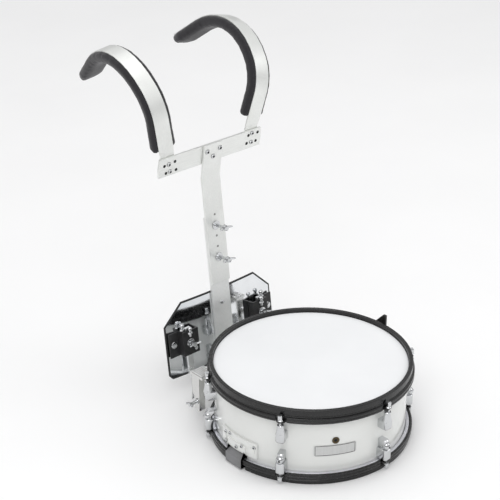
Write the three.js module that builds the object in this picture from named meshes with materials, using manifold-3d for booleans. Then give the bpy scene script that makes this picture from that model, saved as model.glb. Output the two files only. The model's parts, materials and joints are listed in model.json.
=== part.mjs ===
// A marching snare drum on its shoulder carrier. Millimetres, +Z up, -Y towards the audience and +Y
// towards the wearer. The drum is built around the Z axis with its foot at height zero, and the whole part
// is then lowered so that its origin is the centre of the playing face.
import * as THREE from "three";
import { mergeVertices } from "three/addons/utils/BufferGeometryUtils.js";
import Module from "manifold-3d";

const wasm = await Module();
wasm.setup();

// General values
const gap = 0.3; // between pieces that touch
const overrun = 2; // how far a cutting tool runs past what it cuts
const weld = 1e-4; // vertices closer than this are one
const ringSegments = 48;
const smallSegments = 12;
const strandSides = 6;
const cornerSegments = 4;
const degree = Math.PI / 180;

// Shell and heads
const shellRadius = 165;
const shellWall = 6;
const shellHeight = 127;
const shellFoot = 7;
const ventBore = 9;
const ventHeight = 78;
const filmThickness = 0.4;
const collarThickness = 0.8;
const fleshWidth = 5.6;
const fleshHeight = 7;
const collarDrop = 6.2;

// Hoops
const hoopClearance = 0.5;
const hoopWall = 7;
const hoopBandBulge = 3;
const topHoopHeight = 24;
const bottomHoopHeight = 20;
const hoopRimDepth = 6.3; // how far a rim stands past its head
const hoopBandHeight = 9;
const hoopRounding = 2.6;
const notchWidth = 19;
const notchDepth = 4.6;
const earThickness = 3;
const earWidth = 15;
const earPastRod = 3.1;
const gateClearance = 4; // each side of the strap
const gateHeight = 8.5;

// Tension rods and lugs
const rodCount = 6;
const rodFirstAngle = -90;
const rodStandOff = 14.5; // from the shell to the middle of the rods
const rodRadius = 2.9;
const rodKeyWidth = 7;
const rodKeyHeight = 8;
const rodCollarRadius = 4.9;
const rodCollarHeight = 2.6;
const rodEngagement = 12;
const lugWidth = 16;
const lugFront = 5.5; // in front of the middle of its rod
const lugUnderTopHoop = 3;
const upperLugHeight = 17.5;
const upperConeHeight = 17;
const lugOverBottomHoop = 0.5;
const lowerLugHeight = 41;
const lugConeTopRadius = 5;
const lugConeFootRadius = 7.6;
const lugBallRadius = 7.2;
const lugCorner = 6;
const lugSeatDepth = 2;

// Badge and vent
const badgeAngle = -120;
const badgeWidth = 72;
const badgeHeight = 20;
const badgeThickness = 1;
const badgeHeightOnShell = 59.5;
const grommetRadius = 6.2;
const grommetLip = 1.6;
const grommetBore = 2.6;

// Snares, butt and strainer
const snareStrandCount = 20;
const snareStrandPitch = 2;
const snareStrandRadius = 0.9;
const snareInset = 15; // of each end from the outside of the shell
const snarePlateLength = 14;
const snarePlateThickness = 1.2;
const snareBelowFilm = 0.5;
const strapWidth = 38;
const strapThickness = 0.8;
const strapStandOff = 1.2;
const buttWidth = 84;
const buttFoot = 27;
const buttHeight = 28;
const buttPlateThickness = 4;
const buttBarWidth = 42;
const buttBarHeight = 12;
const buttBarThickness = 2; // in front of the plate
const buttBarRise = 4; // above the plate's foot
const buttBossRadius = 6;
const buttBossAngle = 11.5; // each side of the middle, in degrees
const strapSlotDepth = 18;
const strainerWidth = 44;
const strainerFoot = 52;
const strainerHeight = 34;
const strainerBackThickness = 6;
const strainerCheekThickness = 4;
const strainerFloorThickness = 3;
const leverPivotRadius = 2.5;
const leverPivotRise = 22; // above the strainer's foot
const leverStandOff = 17; // from the shell to the lever's pivot
const leverAboveRim = 10;
const leverWidth = 24;
const leverTipWidth = 6;
const leverTaperHeight = 19;
const leverThickness = 4;
const leverHubRadius = 6;
const clampWidth = 40;
const clampHeight = 12;
const clampThickness = 5.5;
const clampFoot = 30;
const knobRadius = 8;
const knobHeight = 6.6;
const knobStemRadius = 2.4;
const knobStemLength = 9; // above the strainer's foot

// Carrier stem
const stemLean = 6.67; // degrees that the lower stem leans back towards the wearer
const stemStandOff = 53.9; // from the hoop's side to the stem's front, at the level of its origin
const stemOriginRise = 24; // above the top rim
const stemWidth = 41;
const stemThickness = 4;
const lowerStemTop = 156; // along the stem, from its origin
const lowerStemFoot = -118;
const upperStemFoot = 30;
const stemBend = 230;
const stemTopLean = 7.9; // degrees that the top of the stem leans forward
const stemTopLength = 65;
const stemSlotWidth = 9;
const stemSlotTop = 150;
const stemSlotFoot = 40;
const stemHoleRadius = 3.4;
const freeHoleRadius = 2.2; // of the holes that hold no bolt
const stemHoleTop = 159; // the row of holes in the upper stem, along the stem
const stemHolePitch = 20;
const stemHoleCount = 5;
const boltHoleNumbers = [1, 4]; // the holes that hold the clamping bolts

// Crossbar
const crossbarLength = 232;
const crossbarHeight = 35;
const crossbarThickness = 4;
const crossbarEndBulge = 1.5;
const crossbarTopDrop = 2; // below the top of the stem

// Shoulder strips and pads
const armBaseX = 95;
const armBaseWidth = 29;
const armTipWidth = 28;
const armThickness = 3;
const armRise = 63; // straight part above the crossbar
const frontArchRadius = 84;
const frontArchSweep = 46; // degrees
const backArchRadius = 122;
const backArchSweep = 89; // degrees
const archSteps = 9; // in each arc
const armTail = 69;
const tailSteps = 4;
// The degrees that each arm leans forward, spreads outwards and toes in, as it is bolted on the crossbar,
// and how far above the foot of its rise its pad begins
const armSettings = {
  left: { forward: 10, outward: 10.8, toeIn: -1.9, padStart: 22 },
  right: { forward: 4, outward: 10.5, toeIn: 6.9, padStart: 12 },
};
const padThickness = 16;
const padOverhang = 6.5;
const padTailExtra = 5;
const padEndTaper = 26;
const padCornerShare = 0.2;
const padTipWidthShare = 0.45;
const padTipDepthShare = 0.55;

// Belly plate and pad
const plateWidth = 250;
const plateTop = 16; // along the stem, from its origin
const plateFoot = -122;
const plateTopWidth = 173;
const plateUpperCorner = -21;
const plateFootWidth = 238;
const plateLowerCorner = -115;
const plateThickness = 2;
const plateRadius = 980;
const plateSteps = 12;
const plateBow = plateRadius - Math.sqrt(plateRadius ** 2 - (plateWidth / 2) ** 2);
const bellyPadInset = 12;
const bellyPadThickness = 11;
const bellyPadEdge = 4;
const bellyPadCrown = 0.5;
const bellyPadSideSteps = 4;
const domeBoltHeight = -9;

// Brackets, J-bars and hoop clamps
const bracketInset = 3; // from the plate's side
const bracketStepX = 101;
const bracketInnerX = 66;
const bracketThickness = 3;
const bracketTop = -34;
const bracketFoot = -80;
const bracketStandOff = 13;
const barX = 86;
const barWidth = 12;
const barThickness = 5;
const barTop = -29;
const barRunHeight = 42;
const barPlay = 0.5; // inside the channel
const barEndRise = 12; // its tip above the channel's foot
const barBend = 8; // that each of its corners is cut by
const barBendTurn = 45; // degrees at each of a bend's two corners
const clampAngle = 44.317; // degrees from the X axis to the channel's inner front edge
const channelClearance = 5.1; // to the hoop's side
const channelWidth = 13;
const channelDepth = 18;
const channelWall = 2.5;
const channelHeight = 41;
const tongueDepth = 12;
const tongueHeight = 31; // below the channel
const tongueChamfer = 6;
const clampScrewDrop = 10; // below the channel's foot
const jawInnerReach = 12; // past the channel, towards the middle
const jawOuterReach = 4;
const jawFrontReach = 14;
const jawThickness = 5;
const jawUnderHoop = 11;
const jawClearance = 1; // to the shell
const jawLipThickness = 4.5;
const jawLipRise = 3.7; // above the hoop's foot, behind its skirt
const jawRibCount = 7;
const jawRibHeight = 1.5;
const jawRibInset = 2;
const jawRibShare = 0.5; // of the rib pitch

// Wing screws
const screwRadius = 3;
const wingSpan = 26;
const wingHeight = 11;
const wingThickness = 3.4;
const wingHubRadius = 5.5;
const wingHubLength = 9;
const washerRadius = 8;
const washerThickness = 2;
const stemScrewReach = 30;
const bracketScrewReach = 14;
const clampScrewReach = 18;
const clampScrewShare = 0.62; // of the size of the other wing screws' heads

// Sizes that follow
const snareLength = 2 * (shellRadius - snareInset);
const leverPivotHeight = strainerFoot + leverPivotRise;
const rodCircle = shellRadius + rodStandOff;
const lugDepth = rodStandOff + lugFront;
const shellTop = shellFoot + shellHeight;
const topFilm = shellTop + gap + filmThickness;
const bottomFilm = shellFoot - gap - filmThickness;
const topRim = topFilm + hoopRimDepth;
const collarInner = shellRadius + gap;
const collarOuter = collarInner + collarThickness;
const fleshOuter = collarOuter + fleshWidth;
const rimInner = collarOuter + hoopClearance;
const bandInner = fleshOuter + hoopClearance;
const rimOuter = rimInner + hoopWall;
const bandOuter = rimOuter + hoopBandBulge;
const topHoopFoot = topRim - topHoopHeight;
const upperLugFoot = topHoopFoot - lugUnderTopHoop - upperConeHeight - upperLugHeight;
const lowerLugFoot = bottomHoopHeight + lugOverBottomHoop;
const jawTop = topHoopFoot - jawUnderHoop;
const channelTop = jawTop - jawThickness;
const channelFoot = channelTop - channelHeight;
const tongueFoot = channelFoot - tongueHeight;
const barEndZ = channelFoot + barEndRise;
const channelInnerX = (bandOuter + channelClearance) * Math.cos(clampAngle * degree);
const channelOuterX = channelInnerX + channelWidth;
const channelFrontY = (bandOuter + channelClearance) * Math.sin(clampAngle * degree);
const channelBackY = channelFrontY + channelDepth;
const jawInnerX = channelInnerX - jawInnerReach;
const jawOuterX = channelOuterX + jawOuterReach;
const jawFrontY = channelFrontY - jawFrontReach;
const barEndX = channelOuterX - channelWall - barPlay - barWidth / 2;
const barEndY = channelBackY - barPlay - barThickness / 2;
const stemOriginY = bandOuter + stemStandOff;
const stemOriginZ = topRim + stemOriginRise;
const bracketOuterX = plateWidth / 2 - bracketInset;
const leverTip = topRim + leverAboveRim;
const leverShoulder = leverTip - leverTaperHeight;
const gateWidth = strapWidth + 2 * gateClearance;
const strapRadius = bandOuter + strapStandOff;
const snareLevel = bottomFilm - snareBelowFilm - snareStrandRadius;

const colours = {
  shellWhite: [0xdcdcd6, 0.28, 0],
  headWhite: [0xeceef0, 0.75, 0],
  black: [0x2c2b2e, 0.45, 0],
  chrome: [0xc9ccce, 0.15, 1],
  steel: [0xb4b6b6, 0.3, 1],
  aluminium: [0xd4d6d2, 0.42, 0.8],
  mirror: [0xdadcdc, 0.06, 1],
  foam: [0x3a393d, 0.9, 0],
  bronze: [0x5a4a30, 0.4, 0.8],
  strap: [0x8c9088, 0.5, 0],
};

function finish(name) {
  const [color, roughness, metalness] = colours[name];
  return new THREE.MeshStandardMaterial({ color, roughness, metalness });
}

// Solids and booleans
function solid(geometry) {
  const bare = geometry.clone();
  bare.deleteAttribute("normal");
  bare.deleteAttribute("uv");
  const merged = mergeVertices(bare, weld);
  const vertProperties = new Float32Array(merged.attributes.position.array);
  const triVerts = new Uint32Array(merged.index.array);
  return new wasm.Manifold(new wasm.Mesh({ numProp: 3, vertProperties, triVerts }));
}

function geometryOf(body) {
  const mesh = body.getMesh();
  const positions = new Float32Array(mesh.numVert * 3);
  for (let i = 0; i < mesh.numVert; i++) {
    positions.set(mesh.vertProperties.subarray(i * mesh.numProp, i * mesh.numProp + 3), i * 3);
  }
  return new THREE.BufferGeometry()
    .setAttribute("position", new THREE.BufferAttribute(positions, 3))
    .setIndex(new THREE.BufferAttribute(new Uint32Array(mesh.triVerts), 1));
}

function join(first, ...others) {
  return geometryOf(others.reduce((made, other) => made.add(solid(other)), solid(first)));
}

function cut(first, ...others) {
  return geometryOf(others.reduce((made, other) => made.subtract(solid(other)), solid(first)));
}

function common(first, second) {
  return geometryOf(solid(first).intersect(solid(second)));
}

// Plain shapes
function block(low, high) {
  const size = new THREE.Vector3(...high).sub(new THREE.Vector3(...low));
  const middle = new THREE.Vector3(...low).addScaledVector(size, 1 / 2);
  return new THREE.BoxGeometry(size.x, size.y, size.z).translate(middle.x, middle.y, middle.z);
}

function turned(points, segments = ringSegments) {
  const outline = points.map(([radius, height]) => new THREE.Vector2(radius, height));
  return new THREE.LatheGeometry(outline, segments).rotateX(Math.PI / 2);
}

function ring(points, segments = ringSegments) {
  return turned([...points, points[0]], segments);
}

function rodAlong(axis, radius, from, to, segments = smallSegments) {
  const rod = new THREE.CylinderGeometry(radius, radius, to - from, segments);
  rod.translate(0, (from + to) / 2, 0);
  if (axis === "x") rod.rotateZ(-Math.PI / 2);
  if (axis === "z") rod.rotateX(Math.PI / 2);
  return rod;
}

// An outline in X and Z, given depth along Y.
function slab(points, fromY, toY, holes = []) {
  const outline = new THREE.Shape(points.map(([x, z]) => new THREE.Vector2(x, z)));
  holes.forEach((hole) => outline.holes.push(hole));
  const made = new THREE.ExtrudeGeometry(outline, {
    depth: toY - fromY,
    bevelEnabled: false,
    curveSegments: smallSegments / 2,
  });
  return made.rotateX(Math.PI / 2).translate(0, toY, 0);
}

// Turns an extruded outline so that its own X runs along Y of the part, its Y runs up and its depth along X.
function sideways() {
  return new THREE.Matrix4().makeBasis(
    new THREE.Vector3(0, 1, 0),
    new THREE.Vector3(0, 0, 1),
    new THREE.Vector3(1, 0, 0),
  );
}

function roundHole(x, z, radius) {
  return new THREE.Path().absarc(x, z, radius, 0, 2 * Math.PI, true);
}

function slotHole(x, foot, top, width) {
  const radius = width / 2;
  const path = new THREE.Path();
  path.absarc(x, top - radius, radius, 0, Math.PI, false);
  path.absarc(x, foot + radius, radius, Math.PI, 2 * Math.PI, false);
  path.closePath();
  return path;
}

// A closed skin through rings of points, each ring going the same way round, with flat ends.
function loft(rings) {
  const count = rings[0].length;
  const positions = rings.flat().flatMap((p) => [p.x, p.y, p.z]);
  const index = [];
  const at = (r, i) => r * count + (i % count);
  for (let r = 0; r + 1 < rings.length; r++) {
    for (let i = 0; i < count; i++) {
      index.push(at(r, i), at(r, i + 1), at(r + 1, i + 1));
      index.push(at(r, i), at(r + 1, i + 1), at(r + 1, i));
    }
  }
  const last = rings.length - 1;
  for (let i = 1; i + 1 < count; i++) {
    index.push(at(0, 0), at(0, i + 1), at(0, i));
    index.push(at(last, 0), at(last, i), at(last, i + 1));
  }
  const made = new THREE.BufferGeometry()
    .setAttribute("position", new THREE.Float32BufferAttribute(positions, 3))
    .setIndex(index);
  if (solid(made).volume() < 0) made.setIndex(index.slice().reverse());
  return made;
}

function mirrored(geometry) {
  const made = geometry.clone().scale(-1, 1, 1);
  const index = made.index ? made.index.array.slice().reverse() : null;
  if (index) return made.setIndex(new THREE.BufferAttribute(index, 1));
  return made;
}

// The part's pieces, by the group that places them
const root = new THREE.Group();
const drum = new THREE.Group();
const carrier = new THREE.Group();
const harness = new THREE.Group();
root.add(drum, carrier, harness);

function piece(group, name, geometry, material) {
  const mesh = new THREE.Mesh(geometry, finish(material));
  mesh.name = name;
  group.add(mesh);
  return mesh;
}

// Shell with its air vent
function makeShell() {
  const inner = shellRadius - shellWall;
  const tube = ring([
    [inner, shellFoot],
    [shellRadius, shellFoot],
    [shellRadius, shellTop],
    [inner, shellTop],
  ]);
  const vent = rodAlong("x", ventBore / 2, inner - overrun, shellRadius + overrun);
  vent.translate(0, 0, ventHeight).rotateZ(badgeAngle * degree);
  return cut(tube, vent);
}

// A head: film, collar and the ring that the hoop pulls on. It is drawn for the top and flipped for the foot.
function makeHead(film, direction) {
  const outer = film;
  const inner = film - direction * filmThickness;
  const collarEnd = film - direction * collarDrop;
  const fleshEnd = collarEnd - direction * fleshHeight;
  const points = [
    [0, inner],
    [collarInner, inner],
    [collarInner, fleshEnd],
    [fleshOuter, fleshEnd],
    [fleshOuter, collarEnd],
    [collarOuter, collarEnd],
    [collarOuter, outer],
    [0, outer],
  ];
  return turned(direction > 0 ? points : points.reverse());
}

// A hoop with notches and an ear at each rod
function hoopRing(rim, edge, direction) {
  const seat = rim - direction * (hoopRimDepth + collarDrop - gap);
  const bandTop = edge + direction * hoopBandHeight;
  const step = direction * hoopBandBulge;
  const round = direction * hoopRounding;
  const points = [
    [rimInner, seat],
    [bandInner, seat],
    [bandInner, edge],
    [bandOuter - Math.abs(step) / 2, edge],
    [bandOuter, edge + step / 2],
    [bandOuter, bandTop],
    [rimOuter, bandTop + step / 2],
    [rimOuter, rim - round],
    [rimOuter - hoopRounding / 2, rim - round / 3],
    [rimOuter - hoopRounding, rim],
    [rimInner + hoopRounding, rim],
    [rimInner + hoopRounding / 3, rim - round / 3],
    [rimInner, rim - round],
  ];
  return ring(direction > 0 ? points : points.reverse());
}

function rodAngles() {
  return Array.from({ length: rodCount }, (_, i) => rodFirstAngle + (i * 360) / rodCount);
}

// The level of the ear's seat, where a rod's collar bears, on the rim's side.
function earSeat(edge, direction) {
  return edge + direction * notchDepth;
}

function makeHoop(rim, edge, direction) {
  const seat = earSeat(edge, direction);
  const under = seat - direction * earThickness;
  const low = Math.min(seat, under);
  const high = Math.max(seat, under);
  const clearLow = Math.min(seat, rim + direction * overrun);
  const clearHigh = Math.max(seat, rim + direction * overrun);
  const skirtLow = Math.min(edge - direction * overrun, under);
  const skirtHigh = Math.max(edge - direction * overrun, under);
  let made = solid(hoopRing(rim, edge, direction));
  for (const angle of rodAngles()) {
    const place = (g) => solid(g.rotateZ(angle * degree));
    const inner = rimOuter + gap;
    const outer = bandOuter + overrun;
    const half = notchWidth / 2;
    made = made.subtract(place(block([inner, -half, clearLow], [outer, half, clearHigh])));
    made = made.subtract(place(block([bandInner - overrun, -half, skirtLow], [outer, half, skirtHigh])));
    const earOuter = rodCircle + earPastRod;
    const ear = block([bandInner + gap, -earWidth / 2, low], [earOuter, earWidth / 2, high]);
    made = made.add(place(ear));
    const bore = rodAlong("z", rodRadius + gap, low - overrun, high + overrun);
    made = made.subtract(place(bore.translate(rodCircle, 0, 0)));
  }
  return made;
}

function makeBottomHoop() {
  let made = makeHoop(0, bottomHoopHeight, -1);
  for (const side of [-1, 1]) {
    const near = side * (rimInner - overrun);
    const far = side * (bandOuter + overrun);
    const low = [Math.min(near, far), -gateWidth / 2, -overrun];
    const high = [Math.max(near, far), gateWidth / 2, gateHeight];
    made = made.subtract(solid(block(low, high)));
  }
  return made;
}

// What is cut by this lies on the shell's side.
function shellSide() {
  return rodAlong("z", shellRadius + gap, -overrun, shellTop + overrun, 2 * ringSegments);
}

function lugBlock(foot, height) {
  const inner = shellRadius - lugSeatDepth;
  const outer = shellRadius + lugDepth;
  const half = lugWidth / 2;
  const corner = lugCorner;
  const outline = new THREE.Shape();
  outline.moveTo(inner, -half);
  outline.lineTo(outer - corner, -half);
  outline.absarc(outer - corner, -half + corner, corner, -Math.PI / 2, 0, false);
  outline.absarc(outer - corner, half - corner, corner, 0, Math.PI / 2, false);
  outline.lineTo(inner, half);
  outline.closePath();
  const made = new THREE.ExtrudeGeometry(outline, {
    depth: height - corner / 2,
    bevelEnabled: false,
    curveSegments: cornerSegments,
  });
  return made.translate(0, 0, foot + corner / 2);
}

function lugFoot(foot, direction) {
  const high = foot + (direction * lugCorner) / 2;
  const inner = shellRadius - lugSeatDepth;
  const half = lugWidth / 2;
  const inset = lugCorner / 2;
  const outer = shellRadius + lugDepth;
  const square = (x, y, z) => [
    new THREE.Vector3(inner, -y, z),
    new THREE.Vector3(x, -y, z),
    new THREE.Vector3(x, y, z),
    new THREE.Vector3(inner, y, z),
  ];
  return loft([square(outer - lugCorner, half - inset, foot), square(outer - inset, half - gap, high)]);
}

function rodCone(foot, top, footRadius, topRadius) {
  const cone = new THREE.CylinderGeometry(topRadius, footRadius, top - foot, smallSegments);
  return cone.rotateX(Math.PI / 2).translate(rodCircle, 0, (foot + top) / 2);
}

function rodPocket(from, to) {
  return rodAlong("z", rodRadius + gap, from, to).translate(rodCircle, 0, 0);
}

// The upper lug: a block on the shell whose top narrows to a cone around the rod.
function makeUpperLug() {
  const top = upperLugFoot + upperLugHeight;
  const coneTop = top + upperConeHeight;
  let made = solid(lugBlock(upperLugFoot, upperLugHeight)).add(solid(lugFoot(upperLugFoot, 1)));
  made = made.add(solid(rodCone(top - lugCorner / 2, coneTop, lugConeFootRadius, lugConeTopRadius)));
  made = made.subtract(solid(shellSide()));
  return made.subtract(solid(rodPocket(coneTop - rodEngagement - overrun, coneTop + overrun)));
}

// The lower lug: a shorter block with a ball at its top.
function makeLowerLug() {
  const top = lowerLugFoot + lowerLugHeight;
  const coneTop = top - lugBallRadius;
  let made = solid(lugBlock(lowerLugFoot, coneTop - lugCorner - lowerLugFoot));
  made = made.add(solid(lugFoot(lowerLugFoot, 1)));
  const bridge = block(
    [shellRadius - lugSeatDepth, -lugWidth / 3, coneTop - lugCorner - overrun],
    [rodCircle, lugWidth / 3, top - lugCorner / 2],
  );
  made = made.add(solid(bridge));
  const ball = new THREE.SphereGeometry(lugBallRadius, smallSegments, smallSegments / 2);
  ball.rotateX(Math.PI / 2).translate(rodCircle, 0, top - 2 * lugBallRadius);
  made = made.add(solid(ball));
  made = made.subtract(solid(shellSide()));
  return made.subtract(solid(rodPocket(lowerLugFoot - overrun, lowerLugFoot + rodEngagement + overrun)));
}

// A tension rod, from its tip in the lug to its square key end, pointing along direction.
function makeRod(tip, seat, direction) {
  const collarEnd = seat + direction * (gap + rodCollarHeight);
  const keyEnd = collarEnd + direction * rodKeyHeight;
  const order = (a, b) => [Math.min(a, b), Math.max(a, b)];
  const stem = rodAlong("z", rodRadius, ...order(tip, collarEnd));
  const collar = rodAlong("z", rodCollarRadius, ...order(seat + direction * gap, collarEnd));
  const [low, high] = order(collarEnd - direction * gap, keyEnd);
  const half = rodKeyWidth / 2;
  const key = block([-half, -half, low], [half, half, high]);
  return join(stem, collar, key);
}

function onRodCircle(mesh, angle) {
  mesh.rotation.z = angle * degree;
  mesh.position.set(rodCircle * Math.cos(angle * degree), rodCircle * Math.sin(angle * degree), 0);
}

function addLugsAndRods() {
  const upperLug = geometryOf(makeUpperLug());
  const lowerLug = geometryOf(makeLowerLug());
  const upperConeTop = upperLugFoot + upperLugHeight + upperConeHeight;
  const upperRod = makeRod(upperConeTop - rodEngagement, earSeat(topHoopFoot, 1), 1);
  const lowerRod = makeRod(lowerLugFoot + rodEngagement, earSeat(bottomHoopHeight, -1), -1);
  rodAngles().forEach((angle, i) => {
    piece(drum, `upper_lug_${i + 1}`, upperLug, "chrome").rotation.z = angle * degree;
    piece(drum, `lower_lug_${i + 1}`, lowerLug, "chrome").rotation.z = angle * degree;
    onRodCircle(piece(drum, `upper_tension_rod_${i + 1}`, upperRod, "chrome"), angle);
    onRodCircle(piece(drum, `lower_tension_rod_${i + 1}`, lowerRod, "chrome"), angle);
  });
}

// A plate that lies on the shell, from one angle reach to the other
function curvedPlate(width, foot, height, thickness) {
  const outer = rodAlong("z", shellRadius + gap + thickness, foot, foot + height, 2 * ringSegments);
  const window = block(
    [0, -width / 2, foot - overrun],
    [shellRadius + thickness + overrun, width / 2, foot + height + overrun],
  );
  return cut(common(outer, window), shellSide());
}

function makeGrommet() {
  const inner = shellRadius - shellWall - overrun;
  const face = shellRadius + grommetLip;
  const barrel = turned(
    [
      [grommetBore, inner],
      [ventBore / 2 - gap, inner],
      [ventBore / 2 - gap, shellRadius + gap],
      [grommetRadius, shellRadius + gap],
      [grommetRadius, face],
      [grommetBore, face],
      [grommetBore, inner],
    ],
    smallSegments,
  );
  barrel.rotateY(Math.PI / 2);
  return barrel.translate(0, 0, ventHeight);
}

// Snare wires: two end plates and straight strands
function makeSnares() {
  const half = snareLength / 2;
  const span = (snareStrandCount - 1) * snareStrandPitch;
  const width = span / 2 + snareStrandPitch;
  const low = snareLevel - snareStrandRadius;
  let made = null;
  for (let i = 0; i < snareStrandCount; i++) {
    const reach = half - snarePlateLength / 2;
    const strand = rodAlong("x", snareStrandRadius, -reach, reach, strandSides);
    const placed = solid(strand.translate(0, i * snareStrandPitch - span / 2, snareLevel));
    made = made ? made.add(placed) : placed;
  }
  for (const side of [-1, 1]) {
    const near = side * (half - snarePlateLength);
    const far = side * half;
    const plateTop = low + snarePlateThickness;
    const plate = block([Math.min(near, far), -width, low], [Math.max(near, far), width, plateTop]);
    made = made.add(solid(plate));
  }
  return made;
}

// A strap: in under the head, out through the gate and up outside the hoop
function makeStrap(top) {
  const level = snareLevel - snareStrandRadius - gap - strapThickness;
  const inner = snareLength / 2 - snarePlateLength;
  const outer = strapRadius + strapThickness;
  const half = strapWidth / 2;
  const flat = block([inner, -half, level], [outer, half, level + strapThickness]);
  const upright = block([strapRadius, -half, level], [outer, half, top]);
  return join(flat, upright);
}

// The butt's strap leans in above the hoop and lies on the shell under the butt plate.
function makeButtStrap() {
  const level = snareLevel - snareStrandRadius - gap - strapThickness;
  const inner = snareLength / 2 - snarePlateLength;
  const rest = shellRadius + gap;
  const top = buttFoot + strapSlotDepth - gap;
  const shoulder = bottomHoopHeight + gap;
  const half = strapWidth / 2;
  const outline = [
    [inner, level],
    [strapRadius + strapThickness, level],
    [strapRadius + strapThickness, shoulder],
    [rest + strapThickness, buttFoot - gap],
    [rest + strapThickness, top],
    [rest, top],
    [rest, buttFoot - gap],
    [strapRadius, shoulder],
    [strapRadius, level + strapThickness],
    [inner, level + strapThickness],
  ];
  return slab(outline, -half, half);
}

// The butt: a flat plate on the shell with a bar over the strap and a round boss at each end
function makeButt() {
  const base = curvedPlate(buttWidth, buttFoot, buttHeight, buttPlateThickness);
  const face = shellRadius + buttPlateThickness + buttBarThickness;
  const barFoot = buttFoot + buttBarRise;
  const bar = block(
    [shellRadius, -buttBarWidth / 2, barFoot],
    [face, buttBarWidth / 2, barFoot + buttBarHeight],
  );
  const bosses = [-1, 1].map((side) => {
    const boss = rodAlong("x", buttBossRadius, shellRadius - overrun, face);
    return boss.translate(0, 0, buttFoot + buttHeight / 2).rotateZ(side * buttBossAngle * degree);
  });
  const slot = block(
    [shellRadius, -strapWidth / 2 - gap, buttFoot - overrun],
    [shellRadius + strapThickness + 2 * gap, strapWidth / 2 + gap, buttFoot + strapSlotDepth],
  );
  return cut(join(base, bar, ...bosses), shellSide(), slot);
}

function makeStrainer() {
  const base = curvedPlate(strainerWidth, strainerFoot, strainerHeight, strainerBackThickness);
  const parts = [base];
  for (const side of [-1, 1]) {
    const outer = (side * strainerWidth) / 2;
    const inner = outer - side * strainerCheekThickness;
    const low = [shellRadius, Math.min(inner, outer), strainerFoot];
    const front = shellRadius + leverStandOff + leverHubRadius;
    const high = [front, Math.max(inner, outer), strainerFoot + strainerHeight];
    parts.push(cut(block(low, high), shellSide()));
  }
  const floor = block(
    [shellRadius, -strainerWidth / 2, strainerFoot],
    [shellRadius + leverStandOff + leverHubRadius, strainerWidth / 2, strainerFoot + strainerFloorThickness],
  );
  const joined = join(...parts, cut(floor, shellSide()));
  const pin = rodAlong("y", leverPivotRadius + gap, -strainerWidth, strainerWidth);
  pin.translate(shellRadius + leverStandOff, 0, leverPivotHeight);
  const guideTop = strainerFoot + leverHubRadius;
  const guide = rodAlong("z", knobStemRadius + 2 * gap, strainerFoot - overrun, guideTop);
  guide.translate(strapRadius + strapThickness / 2, 0, 0);
  return cut(joined, pin, guide);
}

// The lever with its pivot pin: its tip stands above the hoop and is cut away towards the wearer.
function makeLever() {
  const x = shellRadius + leverStandOff;
  const inside = strainerWidth / 2 - strainerCheekThickness - gap;
  const hub = rodAlong("y", leverHubRadius, -inside, inside);
  hub.translate(x, 0, leverPivotHeight);
  const pin = rodAlong("y", leverPivotRadius, -strainerWidth / 2, strainerWidth / 2);
  pin.translate(x, 0, leverPivotHeight);
  const front = -leverTipWidth / 2;
  const outline = new THREE.Shape();
  outline.moveTo(front, leverPivotHeight);
  outline.lineTo(front, leverTip);
  outline.lineTo(front + leverTipWidth, leverTip);
  outline.lineTo(front + leverWidth, leverShoulder);
  outline.lineTo(front + leverWidth, leverShoulder - leverWidth);
  outline.lineTo(inside - gap, strainerFoot + strainerHeight + strainerCheekThickness);
  outline.lineTo(inside - gap, leverPivotHeight);
  outline.closePath();
  const blade = new THREE.ExtrudeGeometry(outline, { depth: leverThickness, bevelEnabled: false });
  blade.applyMatrix4(sideways()).translate(x, 0, 0);
  return join(hub, blade, pin);
}

function makeClamp() {
  const inner = strapRadius - gap - clampThickness / 2;
  const outer = strapRadius + strapThickness + gap + clampThickness / 2;
  const half = clampWidth / 2;
  const body = block([inner, -half, clampFoot], [outer, half, clampFoot + clampHeight]);
  const slot = block(
    [strapRadius - gap, -strapWidth / 2 - gap, clampFoot - overrun],
    [strapRadius + strapThickness + gap, strapWidth / 2 + gap, clampFoot + clampHeight / 2],
  );
  return cut(body, slot);
}

function makeKnob() {
  const foot = clampFoot + clampHeight + gap;
  const knob = rodAlong("z", knobRadius, foot, foot + knobHeight, 2 * smallSegments);
  const stem = rodAlong("z", knobStemRadius, foot + gap, strainerFoot + knobStemLength);
  return join(knob, stem);
}

function addDrum() {
  piece(drum, "shell", makeShell(), "shellWhite");
  piece(drum, "batter_head", makeHead(topFilm, 1), "headWhite");
  piece(drum, "snare_head", makeHead(bottomFilm, -1), "headWhite");
  piece(drum, "top_hoop", geometryOf(makeHoop(topRim, topHoopFoot, 1)), "black");
  piece(drum, "bottom_hoop", geometryOf(makeBottomHoop()), "black");
  addLugsAndRods();
  const badge = curvedPlate(badgeWidth, badgeHeightOnShell - badgeHeight / 2, badgeHeight, badgeThickness);
  piece(drum, "badge_plate", badge, "steel").rotation.z = badgeAngle * degree;
  piece(drum, "vent_grommet", makeGrommet(), "bronze").rotation.z = badgeAngle * degree;
  piece(drum, "snare_wires", geometryOf(makeSnares()), "steel");
  piece(drum, "butt_strap", makeButtStrap(), "strap").rotation.z = Math.PI;
  piece(drum, "strainer_strap", makeStrap(clampFoot + clampHeight / 2 - gap), "strap");
  piece(drum, "butt_plate", makeButt(), "chrome").rotation.z = Math.PI;
  piece(drum, "strainer_body", makeStrainer(), "black");
  piece(drum, "strainer_lever", makeLever(), "black");
  piece(drum, "strap_clamp", makeClamp(), "chrome");
  const knob = piece(drum, "tension_knob", makeKnob(), "black");
  knob.position.x = strapRadius + strapThickness / 2;
}

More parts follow.
